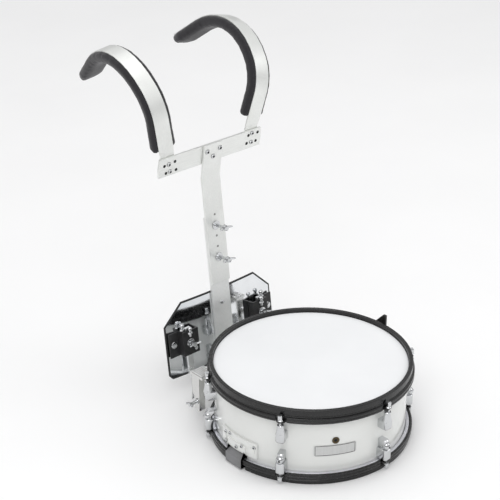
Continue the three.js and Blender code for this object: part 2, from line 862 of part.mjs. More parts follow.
// Wing screws point along their own -Y, with the washer's back at zero. The share sets the size of the head.
function makeWingScrew(reach, tail, share = 1) {
  const washer = rodAlong("y", washerRadius * share, -washerThickness, 0);
  const shank = rodAlong("y", screwRadius, -reach, tail);
  const hubRadius = Math.max(wingHubRadius * share, screwRadius + gap);
  const hub = rodAlong("y", hubRadius, -reach, -reach + wingHubLength * share);
  const half = (wingSpan / 2) * share;
  const rootHalf = (wingHubLength / 2) * share;
  const drop = rootHalf - wingHeight * share;
  const wing = slab(
    [
      [0, -rootHalf],
      [half, drop],
      [half, rootHalf],
      [hubRadius, rootHalf],
      [-hubRadius, rootHalf],
      [-half, rootHalf],
      [-half, drop],
    ],
    -wingThickness / 2,
    wingThickness / 2,
  );
  wing.rotateX(-Math.PI / 2).translate(0, rootHalf - reach, 0);
  return join(washer, shank, hub, wing);
}

// Lower stem, belly plate, pad and brackets lie in the leaning frame of the stem.
function makeLowerStem() {
  const half = stemWidth / 2;
  const holes = [
    slotHole(0, stemSlotFoot, stemSlotTop, stemSlotWidth),
    roundHole(0, domeBoltHeight, stemHoleRadius),
  ];
  return slab(
    [
      [-half, lowerStemFoot],
      [half, lowerStemFoot],
      [half, lowerStemTop],
      [-half, lowerStemTop],
    ],
    0,
    stemThickness,
    holes,
  );
}

function plateOutline(inset) {
  const side = plateWidth / 2 - inset;
  const top = plateTopWidth / 2 - inset / 2;
  const foot = plateFootWidth / 2 - inset;
  return [
    [-foot, plateFoot + inset],
    [foot, plateFoot + inset],
    [side, plateLowerCorner + inset],
    [side, plateUpperCorner - inset / 2],
    [top, plateTop - inset],
    [-top, plateTop - inset],
    [-side, plateUpperCorner - inset / 2],
    [-side, plateLowerCorner + inset],
  ];
}

// A sheet bent round the wearer: its middle is at depth zero and its sides lie further back.
function bowedSheet(front, back) {
  const side = plateWidth / 2;
  const bow = (x) => plateRadius - Math.sqrt(plateRadius ** 2 - x ** 2);
  const xs = Array.from({ length: plateSteps + 1 }, (_, i) => -side + (2 * side * i) / plateSteps);
  const outline = new THREE.Shape();
  xs.forEach((x, i) => (i ? outline.lineTo(x, bow(x) + front) : outline.moveTo(x, bow(x) + front)));
  xs.reverse().forEach((x) => outline.lineTo(x, bow(x) + back));
  outline.closePath();
  const height = plateTop - plateFoot;
  const made = new THREE.ExtrudeGeometry(outline, { depth: height + 2 * overrun, bevelEnabled: false });
  return made.translate(0, 0, plateFoot - overrun);
}

function makePlate() {
  const front = stemThickness + gap;
  const window = slab(plateOutline(0), -overrun, plateBow + stemThickness + plateThickness + overrun);
  const sheet = common(bowedSheet(front, front + plateThickness), window);
  const bolt = rodAlong("y", stemHoleRadius, 0, plateBow + stemThickness + plateThickness);
  return cut(sheet, bolt.translate(0, 0, domeBoltHeight));
}

// A crowned cushion on the back of the plate
function makeBellyPad() {
  const back = stemThickness + gap + plateThickness + gap;
  const outline = plateOutline(bellyPadInset);
  const bow = (x) => plateRadius - Math.sqrt(plateRadius ** 2 - x ** 2);
  const middleZ = (plateTop + plateFoot) / 2;
  const layer = (shrink, depth) => {
    const points = [];
    outline.forEach(([x0, z0], i) => {
      const [x1, z1] = outline[(i + 1) % outline.length];
      for (let k = 0; k < bellyPadSideSteps; k++) {
        const share = k / bellyPadSideSteps;
        const x = (x0 + (x1 - x0) * share) * shrink;
        const z = middleZ + (z0 + (z1 - z0) * share - middleZ) * shrink;
        points.push(new THREE.Vector3(x, bow(x) + back + depth, z));
      }
    });
    return points;
  };
  const crownShares = [
    [0.96, 0],
    [1, bellyPadEdge / 2],
    [0.98, bellyPadEdge],
    [0.9, (bellyPadEdge + bellyPadThickness) / 2],
    [0.7, bellyPadThickness - bellyPadCrown],
    [0.4, bellyPadThickness],
  ];
  return loft(crownShares.map(([shrink, depth]) => layer(shrink, depth)));
}

// The bracket is drawn on the +X side: a flange on the plate, a step forward and a flange around the J-bar.
function bracketSeat() {
  const inner = bracketStepX - bracketThickness;
  return plateRadius - Math.sqrt(plateRadius ** 2 - inner ** 2) + stemThickness;
}

function bracketFront() {
  return bracketSeat() - bracketStandOff;
}

function makeBracket() {
  const seat = bracketSeat();
  const front = bracketFront();
  const t = bracketThickness;
  const height = bracketTop - bracketFoot;
  const outline = new THREE.Shape();
  const points = [
    [bracketOuterX, seat],
    [bracketStepX - t, seat],
    [bracketStepX - t, front],
    [bracketInnerX + t, front],
    [bracketInnerX + t, seat - t],
    [bracketInnerX, seat - t],
    [bracketInnerX, front - t],
    [bracketStepX, front - t],
    [bracketStepX, seat - t],
    [bracketOuterX, seat - t],
  ];
  points.forEach(([x, y], i) => (i ? outline.lineTo(x, y) : outline.moveTo(x, y)));
  outline.closePath();
  const made = new THREE.ExtrudeGeometry(outline, { depth: height, bevelEnabled: false });
  made.translate(0, 0, bracketFoot);
  const hole = rodAlong("y", stemHoleRadius, front - bracketThickness - overrun, front + overrun);
  hole.translate(barX, 0, (bracketTop + bracketFoot) / 2);
  return cut(made, hole);
}

function leaning(group) {
  group.position.set(0, stemOriginY, stemOriginZ);
  group.rotation.x = -stemLean * degree;
}

function addCarrier() {
  leaning(carrier);
  piece(carrier, "lower_stem", makeLowerStem(), "aluminium");
  piece(carrier, "belly_plate", makePlate(), "mirror");
  piece(carrier, "belly_pad", makeBellyPad(), "foam");
  const front = bracketFront();
  const screw = makeWingScrew(bracketScrewReach, bracketThickness);
  for (const [name, side] of [["left", 1], ["right", -1]]) {
    const bracket = makeBracket();
    piece(carrier, `bracket_${name}`, side > 0 ? bracket : mirrored(bracket), "black");
    const placed = piece(carrier, `bracket_wing_screw_${name}`, screw, "chrome");
    placed.position.set(side * barX, front - bracketThickness - gap, (bracketTop + bracketFoot) / 2);
  }
}

function stemHoleHeight(number) {
  return stemHoleTop - number * stemHolePitch;
}

// Upper stem: flat on the lower one, then bent forward at the top
function makeUpperStem() {
  const lean = (stemLean + stemTopLean) * degree;
  const topY = -Math.sin(lean) * stemTopLength;
  const topZ = stemBend + Math.cos(lean) * stemTopLength;
  const half = stemWidth / 2;
  const profile = (y, z, turn) => {
    const dy = stemThickness * Math.cos(turn);
    const dz = stemThickness * Math.sin(turn);
    return [
      new THREE.Vector3(-half, y, z),
      new THREE.Vector3(half, y, z),
      new THREE.Vector3(half, y - dy, z - dz),
      new THREE.Vector3(-half, y - dy, z - dz),
    ];
  };
  const back = -gap;
  const bar = loft([
    profile(back, upperStemFoot, 0),
    profile(back, stemBend, lean / 2),
    profile(back + topY, topZ, lean),
  ]);
  const holes = Array.from({ length: stemHoleCount }, (_, i) => {
    const radius = boltHoleNumbers.includes(i) ? stemHoleRadius : freeHoleRadius;
    const hole = rodAlong("y", radius, back - stemThickness - overrun, back + overrun);
    return hole.translate(0, 0, stemHoleHeight(i));
  });
  return cut(bar, ...holes);
}

// Crossbar and arms lie in a frame at the top of the stem, leaning forward with it.
function makeCrossbar() {
  const half = crossbarLength / 2;
  const top = -crossbarTopDrop;
  const foot = top - crossbarHeight;
  const waist = half - crossbarEndBulge;
  return slab(
    [
      [-waist, foot],
      [waist, foot],
      [half, (top + foot) / 2],
      [waist, top],
      [-waist, top],
      [-half, (top + foot) / 2],
    ],
    0,
    crossbarThickness,
  );
}

// The arm's middle line in its own plane: up, over the shoulder and down the back.
function armPath(padStart) {
  const points = [{ y: 0, z: 0, turn: 0, along: 0 }];
  const last = () => points[points.length - 1];
  const straight = (run) => {
    const { y, z, turn, along } = last();
    points.push({ y: y - Math.sin(turn) * run, z: z + Math.cos(turn) * run, turn, along: along + run });
  };
  const bend = (radius, sweep) => {
    const { y, z, turn, along } = last();
    const next = turn - sweep;
    points.push({
      y: y + radius * (Math.cos(turn) - Math.cos(next)),
      z: z + radius * (Math.sin(turn) - Math.sin(next)),
      turn: next,
      along: along + radius * sweep,
    });
  };
  const repeat = (count, action) => Array.from({ length: count }, action);
  straight(padStart);
  straight(armRise - padStart);
  repeat(archSteps, () => bend(frontArchRadius, (frontArchSweep * degree) / archSteps));
  repeat(archSteps, () => bend(backArchRadius, (backArchSweep * degree) / archSteps));
  repeat(tailSteps, () => straight(armTail / tailSteps));
  return points;
}

function armWidthAt(along) {
  const share = THREE.MathUtils.smoothstep(along, 0, armRise + armTail);
  return armBaseWidth + (armTipWidth - armBaseWidth) * share;
}

// The part of an arm above the crossbar is set at its own angles.
function setArm(rings, setting) {
  const [forward, outward, toeIn] = [setting.forward, setting.outward, setting.toeIn].map((a) => a * degree);
  const turn = new THREE.Euler(forward, outward, toeIn, "ZYX");
  return rings.map((points) => points.map((point) => point.applyEuler(turn)));
}

// A band's section at a station: depths run inwards, away from the outside of the arch.
function bandSection(station, width, from, to, corner) {
  const inwardY = Math.cos(station.turn);
  const inwardZ = Math.sin(station.turn);
  const half = width / 2;
  const outline = corner
    ? [
        [-half + corner, from],
        [half - corner, from],
        [half - corner / 4, from + corner / 2],
        [half, from + corner],
        [half, to - corner],
        [half - corner / 2, to - corner / 4],
        [half - 2 * corner, to],
        [-half + 2 * corner, to],
        [-half + corner / 2, to - corner / 4],
        [-half, to - corner],
        [-half, from + corner],
        [-half + corner / 4, from + corner / 2],
      ]
    : [
        [-half, from],
        [half, from],
        [half, to],
        [-half, to],
      ];
  return outline.map(
    ([x, depth]) => new THREE.Vector3(x, station.y + inwardY * depth, station.z + inwardZ * depth),
  );
}

function makeArm(setting) {
  const lean = stemTopLean * degree;
  const footZ = -crossbarTopDrop - crossbarHeight;
  const foot = { y: -Math.tan(lean) * footZ, z: footZ, turn: lean };
  const heel = { y: 0, z: 0, turn: lean };
  const lower = [foot, heel].map((station) => bandSection(station, armBaseWidth, 0, armThickness, 0));
  const stations = armPath(setting.padStart).filter((station) => station.along > 0);
  const strip = (station) => bandSection(station, armWidthAt(station.along), 0, armThickness, 0);
  const upper = stations.map(strip);
  return loft([...lower, ...setArm(upper, setting)]);
}

function makePad(setting) {
  const path = armPath(setting.padStart).filter((station) => station.along >= setting.padStart);
  const last = path[path.length - 1];
  const along = last.along + padTailExtra;
  const tip = {
    y: last.y - Math.sin(last.turn) * padTailExtra,
    z: last.z + Math.cos(last.turn) * padTailExtra,
    turn: last.turn,
    along,
  };
  const stations = [...path, tip];
  const depth = armThickness + gap;
  const corner = padThickness * padCornerShare;
  const rings = stations.map((station) => {
    const width = armWidthAt(station.along) + 2 * padOverhang;
    const left = Math.min((tip.along - station.along) / padEndTaper, 1);
    const round = Math.sqrt(1 - (1 - left) ** 2);
    const widthShare = padTipWidthShare + (1 - padTipWidthShare) * round;
    const depthShare = padTipDepthShare + (1 - padTipDepthShare) * round;
    return bandSection(station, width * widthShare, depth, depth + padThickness * depthShare, corner);
  });
  return loft(setArm(rings, setting));
}

function addHarness() {
  leaning(harness);
  piece(harness, "upper_stem", makeUpperStem(), "aluminium");
  const bolt = makeWingScrew(stemScrewReach, 2 * stemThickness + gap);
  boltHoleNumbers.forEach((number, i) => {
    const placed = piece(harness, `stem_wing_screw_${i + 1}`, bolt, "chrome");
    placed.position.set(0, -stemThickness - 2 * gap, stemHoleHeight(number));
  });
  const lean = (stemLean + stemTopLean) * degree;
  const top = new THREE.Group();
  top.position.set(0, -gap - Math.sin(lean) * stemTopLength, stemBend + Math.cos(lean) * stemTopLength);
  top.rotation.x = lean;
  harness.add(top);
  const bar = piece(top, "crossbar", makeCrossbar(), "aluminium");
  bar.position.y = gap;
  const upright = new THREE.Group();
  upright.position.set(0, 2 * gap + crossbarThickness, 0);
  upright.rotation.x = -stemTopLean * degree;
  top.add(upright);
  for (const [name, side] of [["left", 1], ["right", -1]]) {
    const setting = armSettings[name];
    const place = (geometry) => (side > 0 ? geometry : mirrored(geometry));
    const strip = piece(upright, `shoulder_strip_${name}`, place(makeArm(setting)), "aluminium");
    const pad = piece(upright, `shoulder_pad_${name}`, place(makePad(setting)), "foam");
    strip.position.x = side * armBaseX;
    pad.position.x = side * armBaseX;
  }
}

// J-bars, drawn on the +X side in the drum's frame: down from the bracket in the plate's plane, forward to
// the drum and up into the clamp. Each corner is cut straight across.
function makeBar() {
  const lean = stemLean * degree;
  const depth = bracketFront() + gap + barThickness / 2;
  const topZ = stemOriginZ - depth * Math.sin(lean) + barTop * Math.cos(lean);
  const yAt = (z) => stemOriginY + depth / Math.cos(lean) + (z - stemOriginZ) * Math.tan(lean);
  const bendZ = barRunHeight + barBend;
  const kneeY = yAt(bendZ);
  const t = barThickness / 2;
  const mitre = t * Math.tan((barBendTurn * degree) / 2);
  const w = barWidth / 2;
  const section = (x, y, z, dy, dz) => [
    new THREE.Vector3(x - w, y - dy, z + dz),
    new THREE.Vector3(x + w, y - dy, z + dz),
    new THREE.Vector3(x + w, y + dy, z - dz),
    new THREE.Vector3(x - w, y + dy, z - dz),
  ];
  return loft([
    section(barX, yAt(topZ), topZ, t, 0),
    section(barX, kneeY, bendZ, t, mitre),
    section(barX, kneeY - barBend, barRunHeight, 0, t),
    section(barEndX, barEndY + barBend, barRunHeight, 0, t),
    section(barEndX, barEndY, bendZ, -t, mitre),
    section(barEndX, barEndY, barEndZ, -t, 0),
  ]);
}

// The hoop clamp: a plate ribbed on top whose lip hooks behind the hoop, an upright channel and a tongue
function makeHoopClamp() {
  const outer = block(
    [channelInnerX, channelFrontY, channelFoot],
    [channelOuterX, channelBackY, jawTop],
  );
  const room = block(
    [channelInnerX - overrun, channelFrontY + channelWall, channelFoot - overrun],
    [channelOuterX - channelWall, channelBackY + overrun, channelTop - channelWall],
  );
  const plate = block([jawInnerX, jawFrontY, channelTop], [jawOuterX, channelBackY, jawTop]);
  const parts = [plate, makeTongue()];
  const pitch = (jawOuterX - jawInnerX) / jawRibCount;
  for (let i = 0; i < jawRibCount; i++) {
    const start = jawInnerX + (i + (1 - jawRibShare) / 2) * pitch;
    const low = [start, jawFrontY + jawRibInset, jawTop - jawRibHeight];
    const high = [start + pitch * jawRibShare, channelBackY - jawRibInset, jawTop + jawRibHeight];
    parts.push(block(low, high));
  }
  const whole = join(cut(outer, room), ...parts);
  const lipTop = topHoopFoot + jawLipRise;
  const lipRing = ring([
    [fleshOuter - jawLipThickness, channelTop],
    [fleshOuter, channelTop],
    [fleshOuter, lipTop],
    [fleshOuter - jawLipThickness, lipTop],
  ]);
  const lipWindow = block([jawInnerX, jawFrontY, 0], [jawOuterX, channelBackY, shellTop]);
  const drumSide = rodAlong("z", shellRadius + jawClearance, 0, shellTop, 2 * ringSegments);
  const screwHole = rodAlong("x", screwRadius + gap, channelInnerX - overrun, channelOuterX + overrun);
  screwHole.translate(0, clampScrewY(), clampScrewZ());
  return cut(join(whole, common(lipRing, lipWindow)), drumSide, screwHole);
}

// The tongue is drawn from the side, with its outline's X along Y of the part.
function makeTongue() {
  const outline = new THREE.Shape();
  const top = channelFoot + channelWall;
  outline.moveTo(channelFrontY, top);
  outline.lineTo(channelFrontY, tongueFoot + tongueChamfer / 2);
  outline.lineTo(channelFrontY + tongueChamfer / 2, tongueFoot);
  outline.lineTo(channelFrontY + tongueDepth - tongueChamfer, tongueFoot);
  outline.lineTo(channelFrontY + tongueDepth, tongueFoot + tongueChamfer);
  outline.lineTo(channelFrontY + tongueDepth, channelFoot);
  outline.lineTo(channelFrontY + channelWall, top);
  outline.closePath();
  const width = channelOuterX - channelInnerX;
  const made = new THREE.ExtrudeGeometry(outline, { depth: width, bevelEnabled: false });
  return made.applyMatrix4(sideways()).translate(channelInnerX, 0, 0);
}

function clampScrewZ() {
  return channelFoot - clampScrewDrop;
}

function clampScrewY() {
  return channelFrontY + tongueDepth / 2;
}

function addMounting() {
  const tail = channelOuterX - channelInnerX + screwRadius;
  const screw = makeWingScrew(clampScrewReach, tail, clampScrewShare);
  screw.rotateZ(Math.PI / 2);
  for (const [name, side] of [["left", 1], ["right", -1]]) {
    const bar = makeBar();
    const clamp = makeHoopClamp();
    piece(drum, `j_bar_${name}`, side > 0 ? bar : mirrored(bar), "steel");
    piece(drum, `hoop_clamp_${name}`, side > 0 ? clamp : mirrored(clamp), "chrome");
    const placed = piece(drum, `clamp_wing_screw_${name}`, side > 0 ? screw : mirrored(screw), "chrome");
    placed.position.set(side * (channelOuterX + gap), clampScrewY(), clampScrewZ());
  }
}

addDrum();
addCarrier();
addHarness();
addMounting();
root.position.z = -topFilm;

export default root;
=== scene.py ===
import json
import math

import bmesh
import bpy
from mathutils import Matrix, Vector


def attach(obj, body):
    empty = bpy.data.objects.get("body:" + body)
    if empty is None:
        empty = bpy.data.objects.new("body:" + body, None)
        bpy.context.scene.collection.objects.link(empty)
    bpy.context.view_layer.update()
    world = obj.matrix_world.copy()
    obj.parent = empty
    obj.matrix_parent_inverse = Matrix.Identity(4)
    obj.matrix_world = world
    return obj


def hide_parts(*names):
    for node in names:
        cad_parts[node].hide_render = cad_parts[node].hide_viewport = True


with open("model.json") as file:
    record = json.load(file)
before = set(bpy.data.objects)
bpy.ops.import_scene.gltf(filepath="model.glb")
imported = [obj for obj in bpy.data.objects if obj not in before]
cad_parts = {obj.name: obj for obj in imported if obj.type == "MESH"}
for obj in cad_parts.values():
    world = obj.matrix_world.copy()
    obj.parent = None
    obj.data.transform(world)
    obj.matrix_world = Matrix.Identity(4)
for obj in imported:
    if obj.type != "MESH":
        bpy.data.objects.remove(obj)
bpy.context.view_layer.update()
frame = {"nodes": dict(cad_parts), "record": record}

# Sizes are millimetres in the frames below, and each frame turns them into the part's metres.
MM = 0.001
FOOT = 134.7  # the drum's foot lies this far below the playing face
DRUM = Matrix.Translation((0, 0, -FOOT * MM)) @ Matrix.Scale(MM, 4)
STEM_LEAN = math.radians(6.67)
STEM = DRUM @ Matrix.Translation((0, 230.5, 165)) @ Matrix.Rotation(-STEM_LEAN, 4, "X")
BEND = math.radians(14.57)
BEND_UP = 230  # from the stem's origin to its bend
BEND_TO_BAR = 65
GAP = 0.3  # between metal that touches
CROSS = (
    STEM
    @ Matrix.Translation((0, -GAP - math.sin(BEND) * BEND_TO_BAR, BEND_UP + math.cos(BEND) * BEND_TO_BAR))
    @ Matrix.Rotation(BEND, 4, "X")
)
SIDES = (("left", 1), ("right", -1))

# Drum
SHELL_R = 165
SHELL_INNER = 159
SHELL_LOW = 7
SHELL_TOP = 134
ROD_R = 179.5
ROD_ANGLES = [-90, -30, 30, 90, 150, 210]
SNARE_FILM = 6.3  # the snare head's film over the drum's foot
FILM_THICK = 0.4
COLLAR_R = 166.1
COLLAR_INNER = 165.4
COLLAR_DEPTH = 6.2
FLESH_R = 171.6
FLESH_DEPTH = 7
HOOP_R = 176.5
HOOP_NECK = 172.2
HOOP_BAND = 173.7
NOTCH_HALF = 9.5  # the hoop is cut this wide to each side of a rod
NOTCH_OUT = 179
EAR_HALF = 7.5
GATE_HALF = 23
GATE_TOP = 8.5
LUG_FOOT = 163.5  # inside the shell's face, so that no gap shows
LUG_MIDDLE = 172.0
BALL_R = 7.2
BALL_Z = 47.4
THREAD_R = 2.85
THREAD_CORE = 2.5
THREAD_PITCH = 0.9
RODS = (("upper", 102, 121.6, 1), ("lower", 32.5, 15.4, -1))  # end, tip, seat and the way it points
BADGE_ANGLE = -120
BADGE_LOW = 49.6
BADGE_HIGH = 69.4
BADGE_HALF = 12.4  # degrees
BADGE_EDGE_HALF = 11.6  # degrees
VENT_Z = 78
WIRES = 20
WIRE_PITCH = 2.0
WIRE_HALF = 143
WIRE_Z = 4.9
WIRE_STEPS = 216
BUTT_SCREWS = [(169.6, 48.8), (173.7, 51.6), (170.5, 32.4), (180, 35.3), (-175.6, 41.6), (-167.3, 48.1)]
BUTT_STEP = 44  # the butt plate stands out further below this height

# Carrier
STEM_SCREW_UP = (139, 79)
STEM_HOLES = (159, 119, 99)
BRACKET_FRONT = -7.4
BRACKET_SCREW = (86, BRACKET_FRONT, -57)
BRACKET_BOLT_X = 112
CLAMP_SCREW = (143.3, 132.94, 50)
POSTS = ((95, 1.5, -24), (85.5, -8.5, -30.5))
NUT = (76, -70)
PLATE_R = 980
PLATE_LOW = -122
PLATE_HIGH = 16
PLATE_HALF = 125
PLATE_FOOT_HALF = 119
PLATE_TOP_HALF = 86.5
PLATE_CUT = 7  # height of the lower corners
PLATE_SHOULDER = -21
PLATE_FRONT = 4.3
PLATE_THICK = 2
PLATE = [
    (-PLATE_FOOT_HALF, PLATE_LOW), (PLATE_FOOT_HALF, PLATE_LOW), (PLATE_HALF, PLATE_LOW + PLATE_CUT),
    (PLATE_HALF, PLATE_SHOULDER), (PLATE_TOP_HALF, PLATE_HIGH), (-PLATE_TOP_HALF, PLATE_HIGH),
    (-PLATE_HALF, PLATE_SHOULDER), (-PLATE_HALF, PLATE_LOW + PLATE_CUT),
]
PLATE_MIDDLE = -53
TRIM_SHRINK = 0.992
TRIM_R = 1.9
BINDING_INSET = 14.6
BINDING_DEPTH = 8.4
BINDING_R = 3.6
PAD_REST = 6.5  # the belly pad's inner face, behind the plate's bow

# Places (x, z) from the crossbar's origin
CROSS_HOLES = [
    (-103.8, -16), (-81.3, -13.1), (-99.6, -30.7), (-77.8, -29.6),
    (85.7, -10.8), (107.1, -9.9), (82.7, -25.8), (104.2, -26),
]
CROSS_SCREWS = [(-94.2, -15.1), (-91, -29.5), (93.7, -8.1), (93.4, -25.9)]
STEM_SCREWS = [(-12.7, -13), (15.7, -12.5), (0.9, -24.8)]

# Stage
FLOOR_REACH = 9000
FLOOR_DROP = 0.0002  # metres, so the drum's foot never shares the floor's face
LIGHTS = (  # name, place, aim, size, power
    ("key", (-2.2, -1.6, 3.0), (0, 0.1, 0.1), 2.2, 42),
    ("fill", (2.4, -2.0, 1.8), (0, 0.1, 0.1), 2.0, 15),
    ("top", (0.2, 0.8, 3.4), (0, 0.1, 0), 2.4, 16),
)
SKY = ((0.47, 0.74), (0.52, 0.2), (0.60, 0.28), (0.72, 0.78))  # height's share and tone
CAMERA_PLACE = (-1.45182, -1.46035, 1.21577)
CAMERA_ANGLES = (-41.99, 26.12, -0.39)  # yaw, pitch and roll in degrees
LENS = 100.8

NODE_BODY = {n: b for b, nodes in frame["record"]["behaviour"]["bodies"].items() for n in nodes}


# Materials
class Nodes:
    """A material under construction."""

    def __init__(self, name):
        self.material = bpy.data.materials.new(name)
        self.material.use_nodes = True
        self.tree = self.material.node_tree
        self.shader = self.tree.nodes["Principled BSDF"]
        coords = self.tree.nodes.new("ShaderNodeTexCoord")
        self.place = coords.outputs["Object"]

    def new(self, kind, **values):
        node = self.tree.nodes.new(kind)
        for key, value in values.items():
            if key in node.inputs:
                node.inputs[key].default_value = value
            else:
                setattr(node, key, value)
        return node

    def link(self, source, target):
        self.tree.links.new(source, target)

    def stretched(self, scale):
        node = self.new("ShaderNodeMapping")
        node.inputs["Scale"].default_value = scale
        self.link(self.place, node.inputs["Vector"])
        return node.outputs["Vector"]

    def noise(self, scale, detail=3.0, stretch=None):
        node = self.new("ShaderNodeTexNoise", Scale=scale, Detail=detail)
        self.link(self.stretched(stretch) if stretch else self.place, node.inputs["Vector"])
        return node.outputs["Fac"]

    def ramp(self, source, low, high, start=0.3, end=0.7):
        node = self.new("ShaderNodeMapRange")
        node.inputs["From Min"].default_value = start
        node.inputs["From Max"].default_value = end
        node.inputs["To Min"].default_value = low
        node.inputs["To Max"].default_value = high
        self.link(source, node.inputs["Value"])
        return node.outputs["Result"]

    def blend(self, source, dark, light, start=0.3, end=0.7):
        node = self.new("ShaderNodeMix", data_type="RGBA")
        self.link(self.ramp(source, 0, 1, start, end), node.inputs["Factor"])
        node.inputs["A"].default_value = (*dark, 1)
        node.inputs["B"].default_value = (*light, 1)
        return node.outputs["Result"]

    def bump(self, source, depth, before=None):
        node = self.new("ShaderNodeBump", Strength=1.0, Distance=depth)
        self.link(source, node.inputs["Height"])
        if before:
            self.link(before, node.inputs["Normal"])
        return node.outputs["Normal"]

    def finish(self, colour=None, rough=None, normal=None, **values):
        for key, source in (("Base Color", colour), ("Roughness", rough), ("Normal", normal)):
            if source is not None:
                self.link(source, self.shader.inputs[key])
        for key, value in values.items():
            self.shader.inputs[key.replace("_", " ")].default_value = value
        return self.material


def lacquer():
    m = Nodes("white_lacquer")
    tone = m.blend(m.noise(14, 4), (0.765, 0.775, 0.755), (0.80, 0.81, 0.79))
    wave = m.bump(m.noise(160, 2), 0.00006)
    return m.finish(
        tone, m.ramp(m.noise(60, 5), 0.16, 0.26), wave, Coat_Weight=0.6, Coat_Roughness=0.06
    )


def film():
    m = Nodes("coated_film")
    tone = m.blend(m.noise(9, 4), (0.835, 0.845, 0.855), (0.87, 0.88, 0.89))
    grain = m.bump(m.noise(1900, 2), 0.00004)
    return m.finish(tone, m.ramp(m.noise(400, 2), 0.62, 0.8), grain, Specular_IOR_Level=0.35)


def black_coat(name, low, high, rough, peel=0.00005, shine=0.38):
    m = Nodes(name)
    tone = m.blend(m.noise(35, 5), (low,) * 3, (high, high, high * 1.05))
    skin = m.bump(m.noise(700, 2), peel)
    sheen = m.ramp(m.noise(120, 4), rough - 0.06, rough + 0.08)
    return m.finish(tone, sheen, skin, Specular_IOR_Level=shine)


def plated(name, tone, rough, wave=0.00003, scale=240):
    m = Nodes(name)
    colour = m.blend(m.noise(50, 4), tuple(c * 0.94 for c in tone), tone)
    skin = m.bump(m.noise(scale, 3), wave)
    smudge = m.ramp(m.noise(90, 6), rough * 0.7, rough * 1.7)
    return m.finish(colour, smudge, skin, Metallic=1.0)


def brushed(name, tone, rough, stretch, depth=0.000012):
    m = Nodes(name)
    streaks = m.noise(1.0, 4, stretch)
    colour = m.blend(streaks, tuple(c * 0.93 for c in tone), tone, 0.35, 0.65)
    cloud = m.ramp(m.noise(40, 4), rough * 0.85, rough * 1.15)
    return m.finish(colour, cloud, m.bump(streaks, depth), Metallic=1.0)


def fabric():
    m = Nodes("pad_cloth")
    waves = []
    for direction in ("X", "Y", "Z"):
        wave = m.new("ShaderNodeTexWave", Scale=150.0, Distortion=1.4, Detail=2.0)
        wave.bands_direction = direction
        m.link(m.place, wave.inputs["Vector"])
        waves.append(wave.outputs["Fac"])
    weave = waves[0]
    for wave in waves[1:]:
        mix = m.new("ShaderNodeMath", operation="MULTIPLY")
        m.link(weave, mix.inputs[0])
        m.link(wave, mix.inputs[1])
        weave = mix.outputs["Value"]
    lint = m.noise(900, 4)
    colour = m.blend(lint, (0.017, 0.016, 0.019), (0.036, 0.034, 0.038), 0.35, 0.75)
    soft = m.bump(m.noise(90, 4), 0.0004)
    knit = m.bump(weave, 0.00012, soft)
    rough = m.ramp(lint, 0.78, 0.95)
    return m.finish(colour, rough, knit, Sheen_Weight=0.35, Sheen_Roughness=0.45, Specular_IOR_Level=0.3)


WHITE = lacquer()
FILM = film()
HOOP = black_coat("hoop_coat", 0.004, 0.009, 0.24, 0.00003, 0.5)
BLACK = black_coat("black_paint", 0.014, 0.028, 0.36, 0.0001)
RUBBER = black_coat("rubber", 0.016, 0.03, 0.62, 0.00012)
CHROME = plated("chrome_plate", (0.62, 0.63, 0.64), 0.09)
CAST = plated("cast_plate", (0.68, 0.68, 0.67), 0.16, 0.00004, 90)
STEEL = plated("bright_steel", (0.76, 0.77, 0.77), 0.3)
MIRROR = plated("mirror_plate", (0.80, 0.815, 0.83), 0.06, 0.00003, 18)
FLESH = plated("flesh_ring", (0.80, 0.80, 0.84), 0.35)
BRONZE = plated("dark_bronze", (0.11, 0.085, 0.05), 0.34)
BADGE = brushed("badge_steel", (0.60, 0.605, 0.60), 0.34, (500, 500, 30))
ALUMINIUM = brushed("satin_aluminium", (0.86, 0.87, 0.85), 0.5, (1800, 1800, 24))
# Painted light: a lighter copy of the satin aluminium, standing for the brighter light the lower stem
# catches.
LIT_ALUMINIUM = brushed("lit_aluminium", (0.93, 0.94, 0.93), 0.62, (1800, 1800, 24))
ALUMINIUM_ACROSS = brushed("satin_aluminium_across", (0.84, 0.85, 0.83), 0.42, (24, 1800, 1800))
STRAP = black_coat("strap_plastic", 0.19, 0.24, 0.42)
# Painted shade: near-black colour for the insides of holes, bores and screw sockets.
PAINTED_SHADE = black_coat("painted_recess_shade", 0.006, 0.012, 0.6)
# Painted shadow: mid-grey for the rings under screw heads and the discs in the stem's holes.
SHADE = plated("painted_grey_shade", (0.34, 0.34, 0.33), 0.5)
CLOTH = fabric()


# Mesh tools
def loft(bm, rings, place, caps=True, closed=False, slot=0):
    """A skin through rings of points. Each ring is closed."""
    made = [[bm.verts.new(place @ Vector(p)) for p in ring] for ring in rings]
    pairs = list(zip(made, made[1:]))
    if closed:
        pairs.append((made[-1], made[0]))
    for a, b in pairs:
        for i in range(len(a)):
            j = (i + 1) % len(a)
            bm.faces.new((a[i], a[j], b[j], b[i])).material_index = slot
    if caps and not closed:
        bm.faces.new(made[0]).material_index = slot
        bm.faces.new(made[-1]).material_index = slot


def lathe(bm, profile, place, segments=48, closed=True, slot=0, angle=0.0):
    """Turns (radius, height) points about Z. A closed profile is a ring, and an open one gets end caps."""
    rings = []
    for radius, height in profile:
        rings.append([
            (
                max(radius, 0.01) * math.cos(angle + 2 * math.pi * i / segments),
                max(radius, 0.01) * math.sin(angle + 2 * math.pi * i / segments),
                height,
            )
            for i in range(segments)
        ])
    loft(bm, rings, place, caps=not closed, closed=closed, slot=slot)


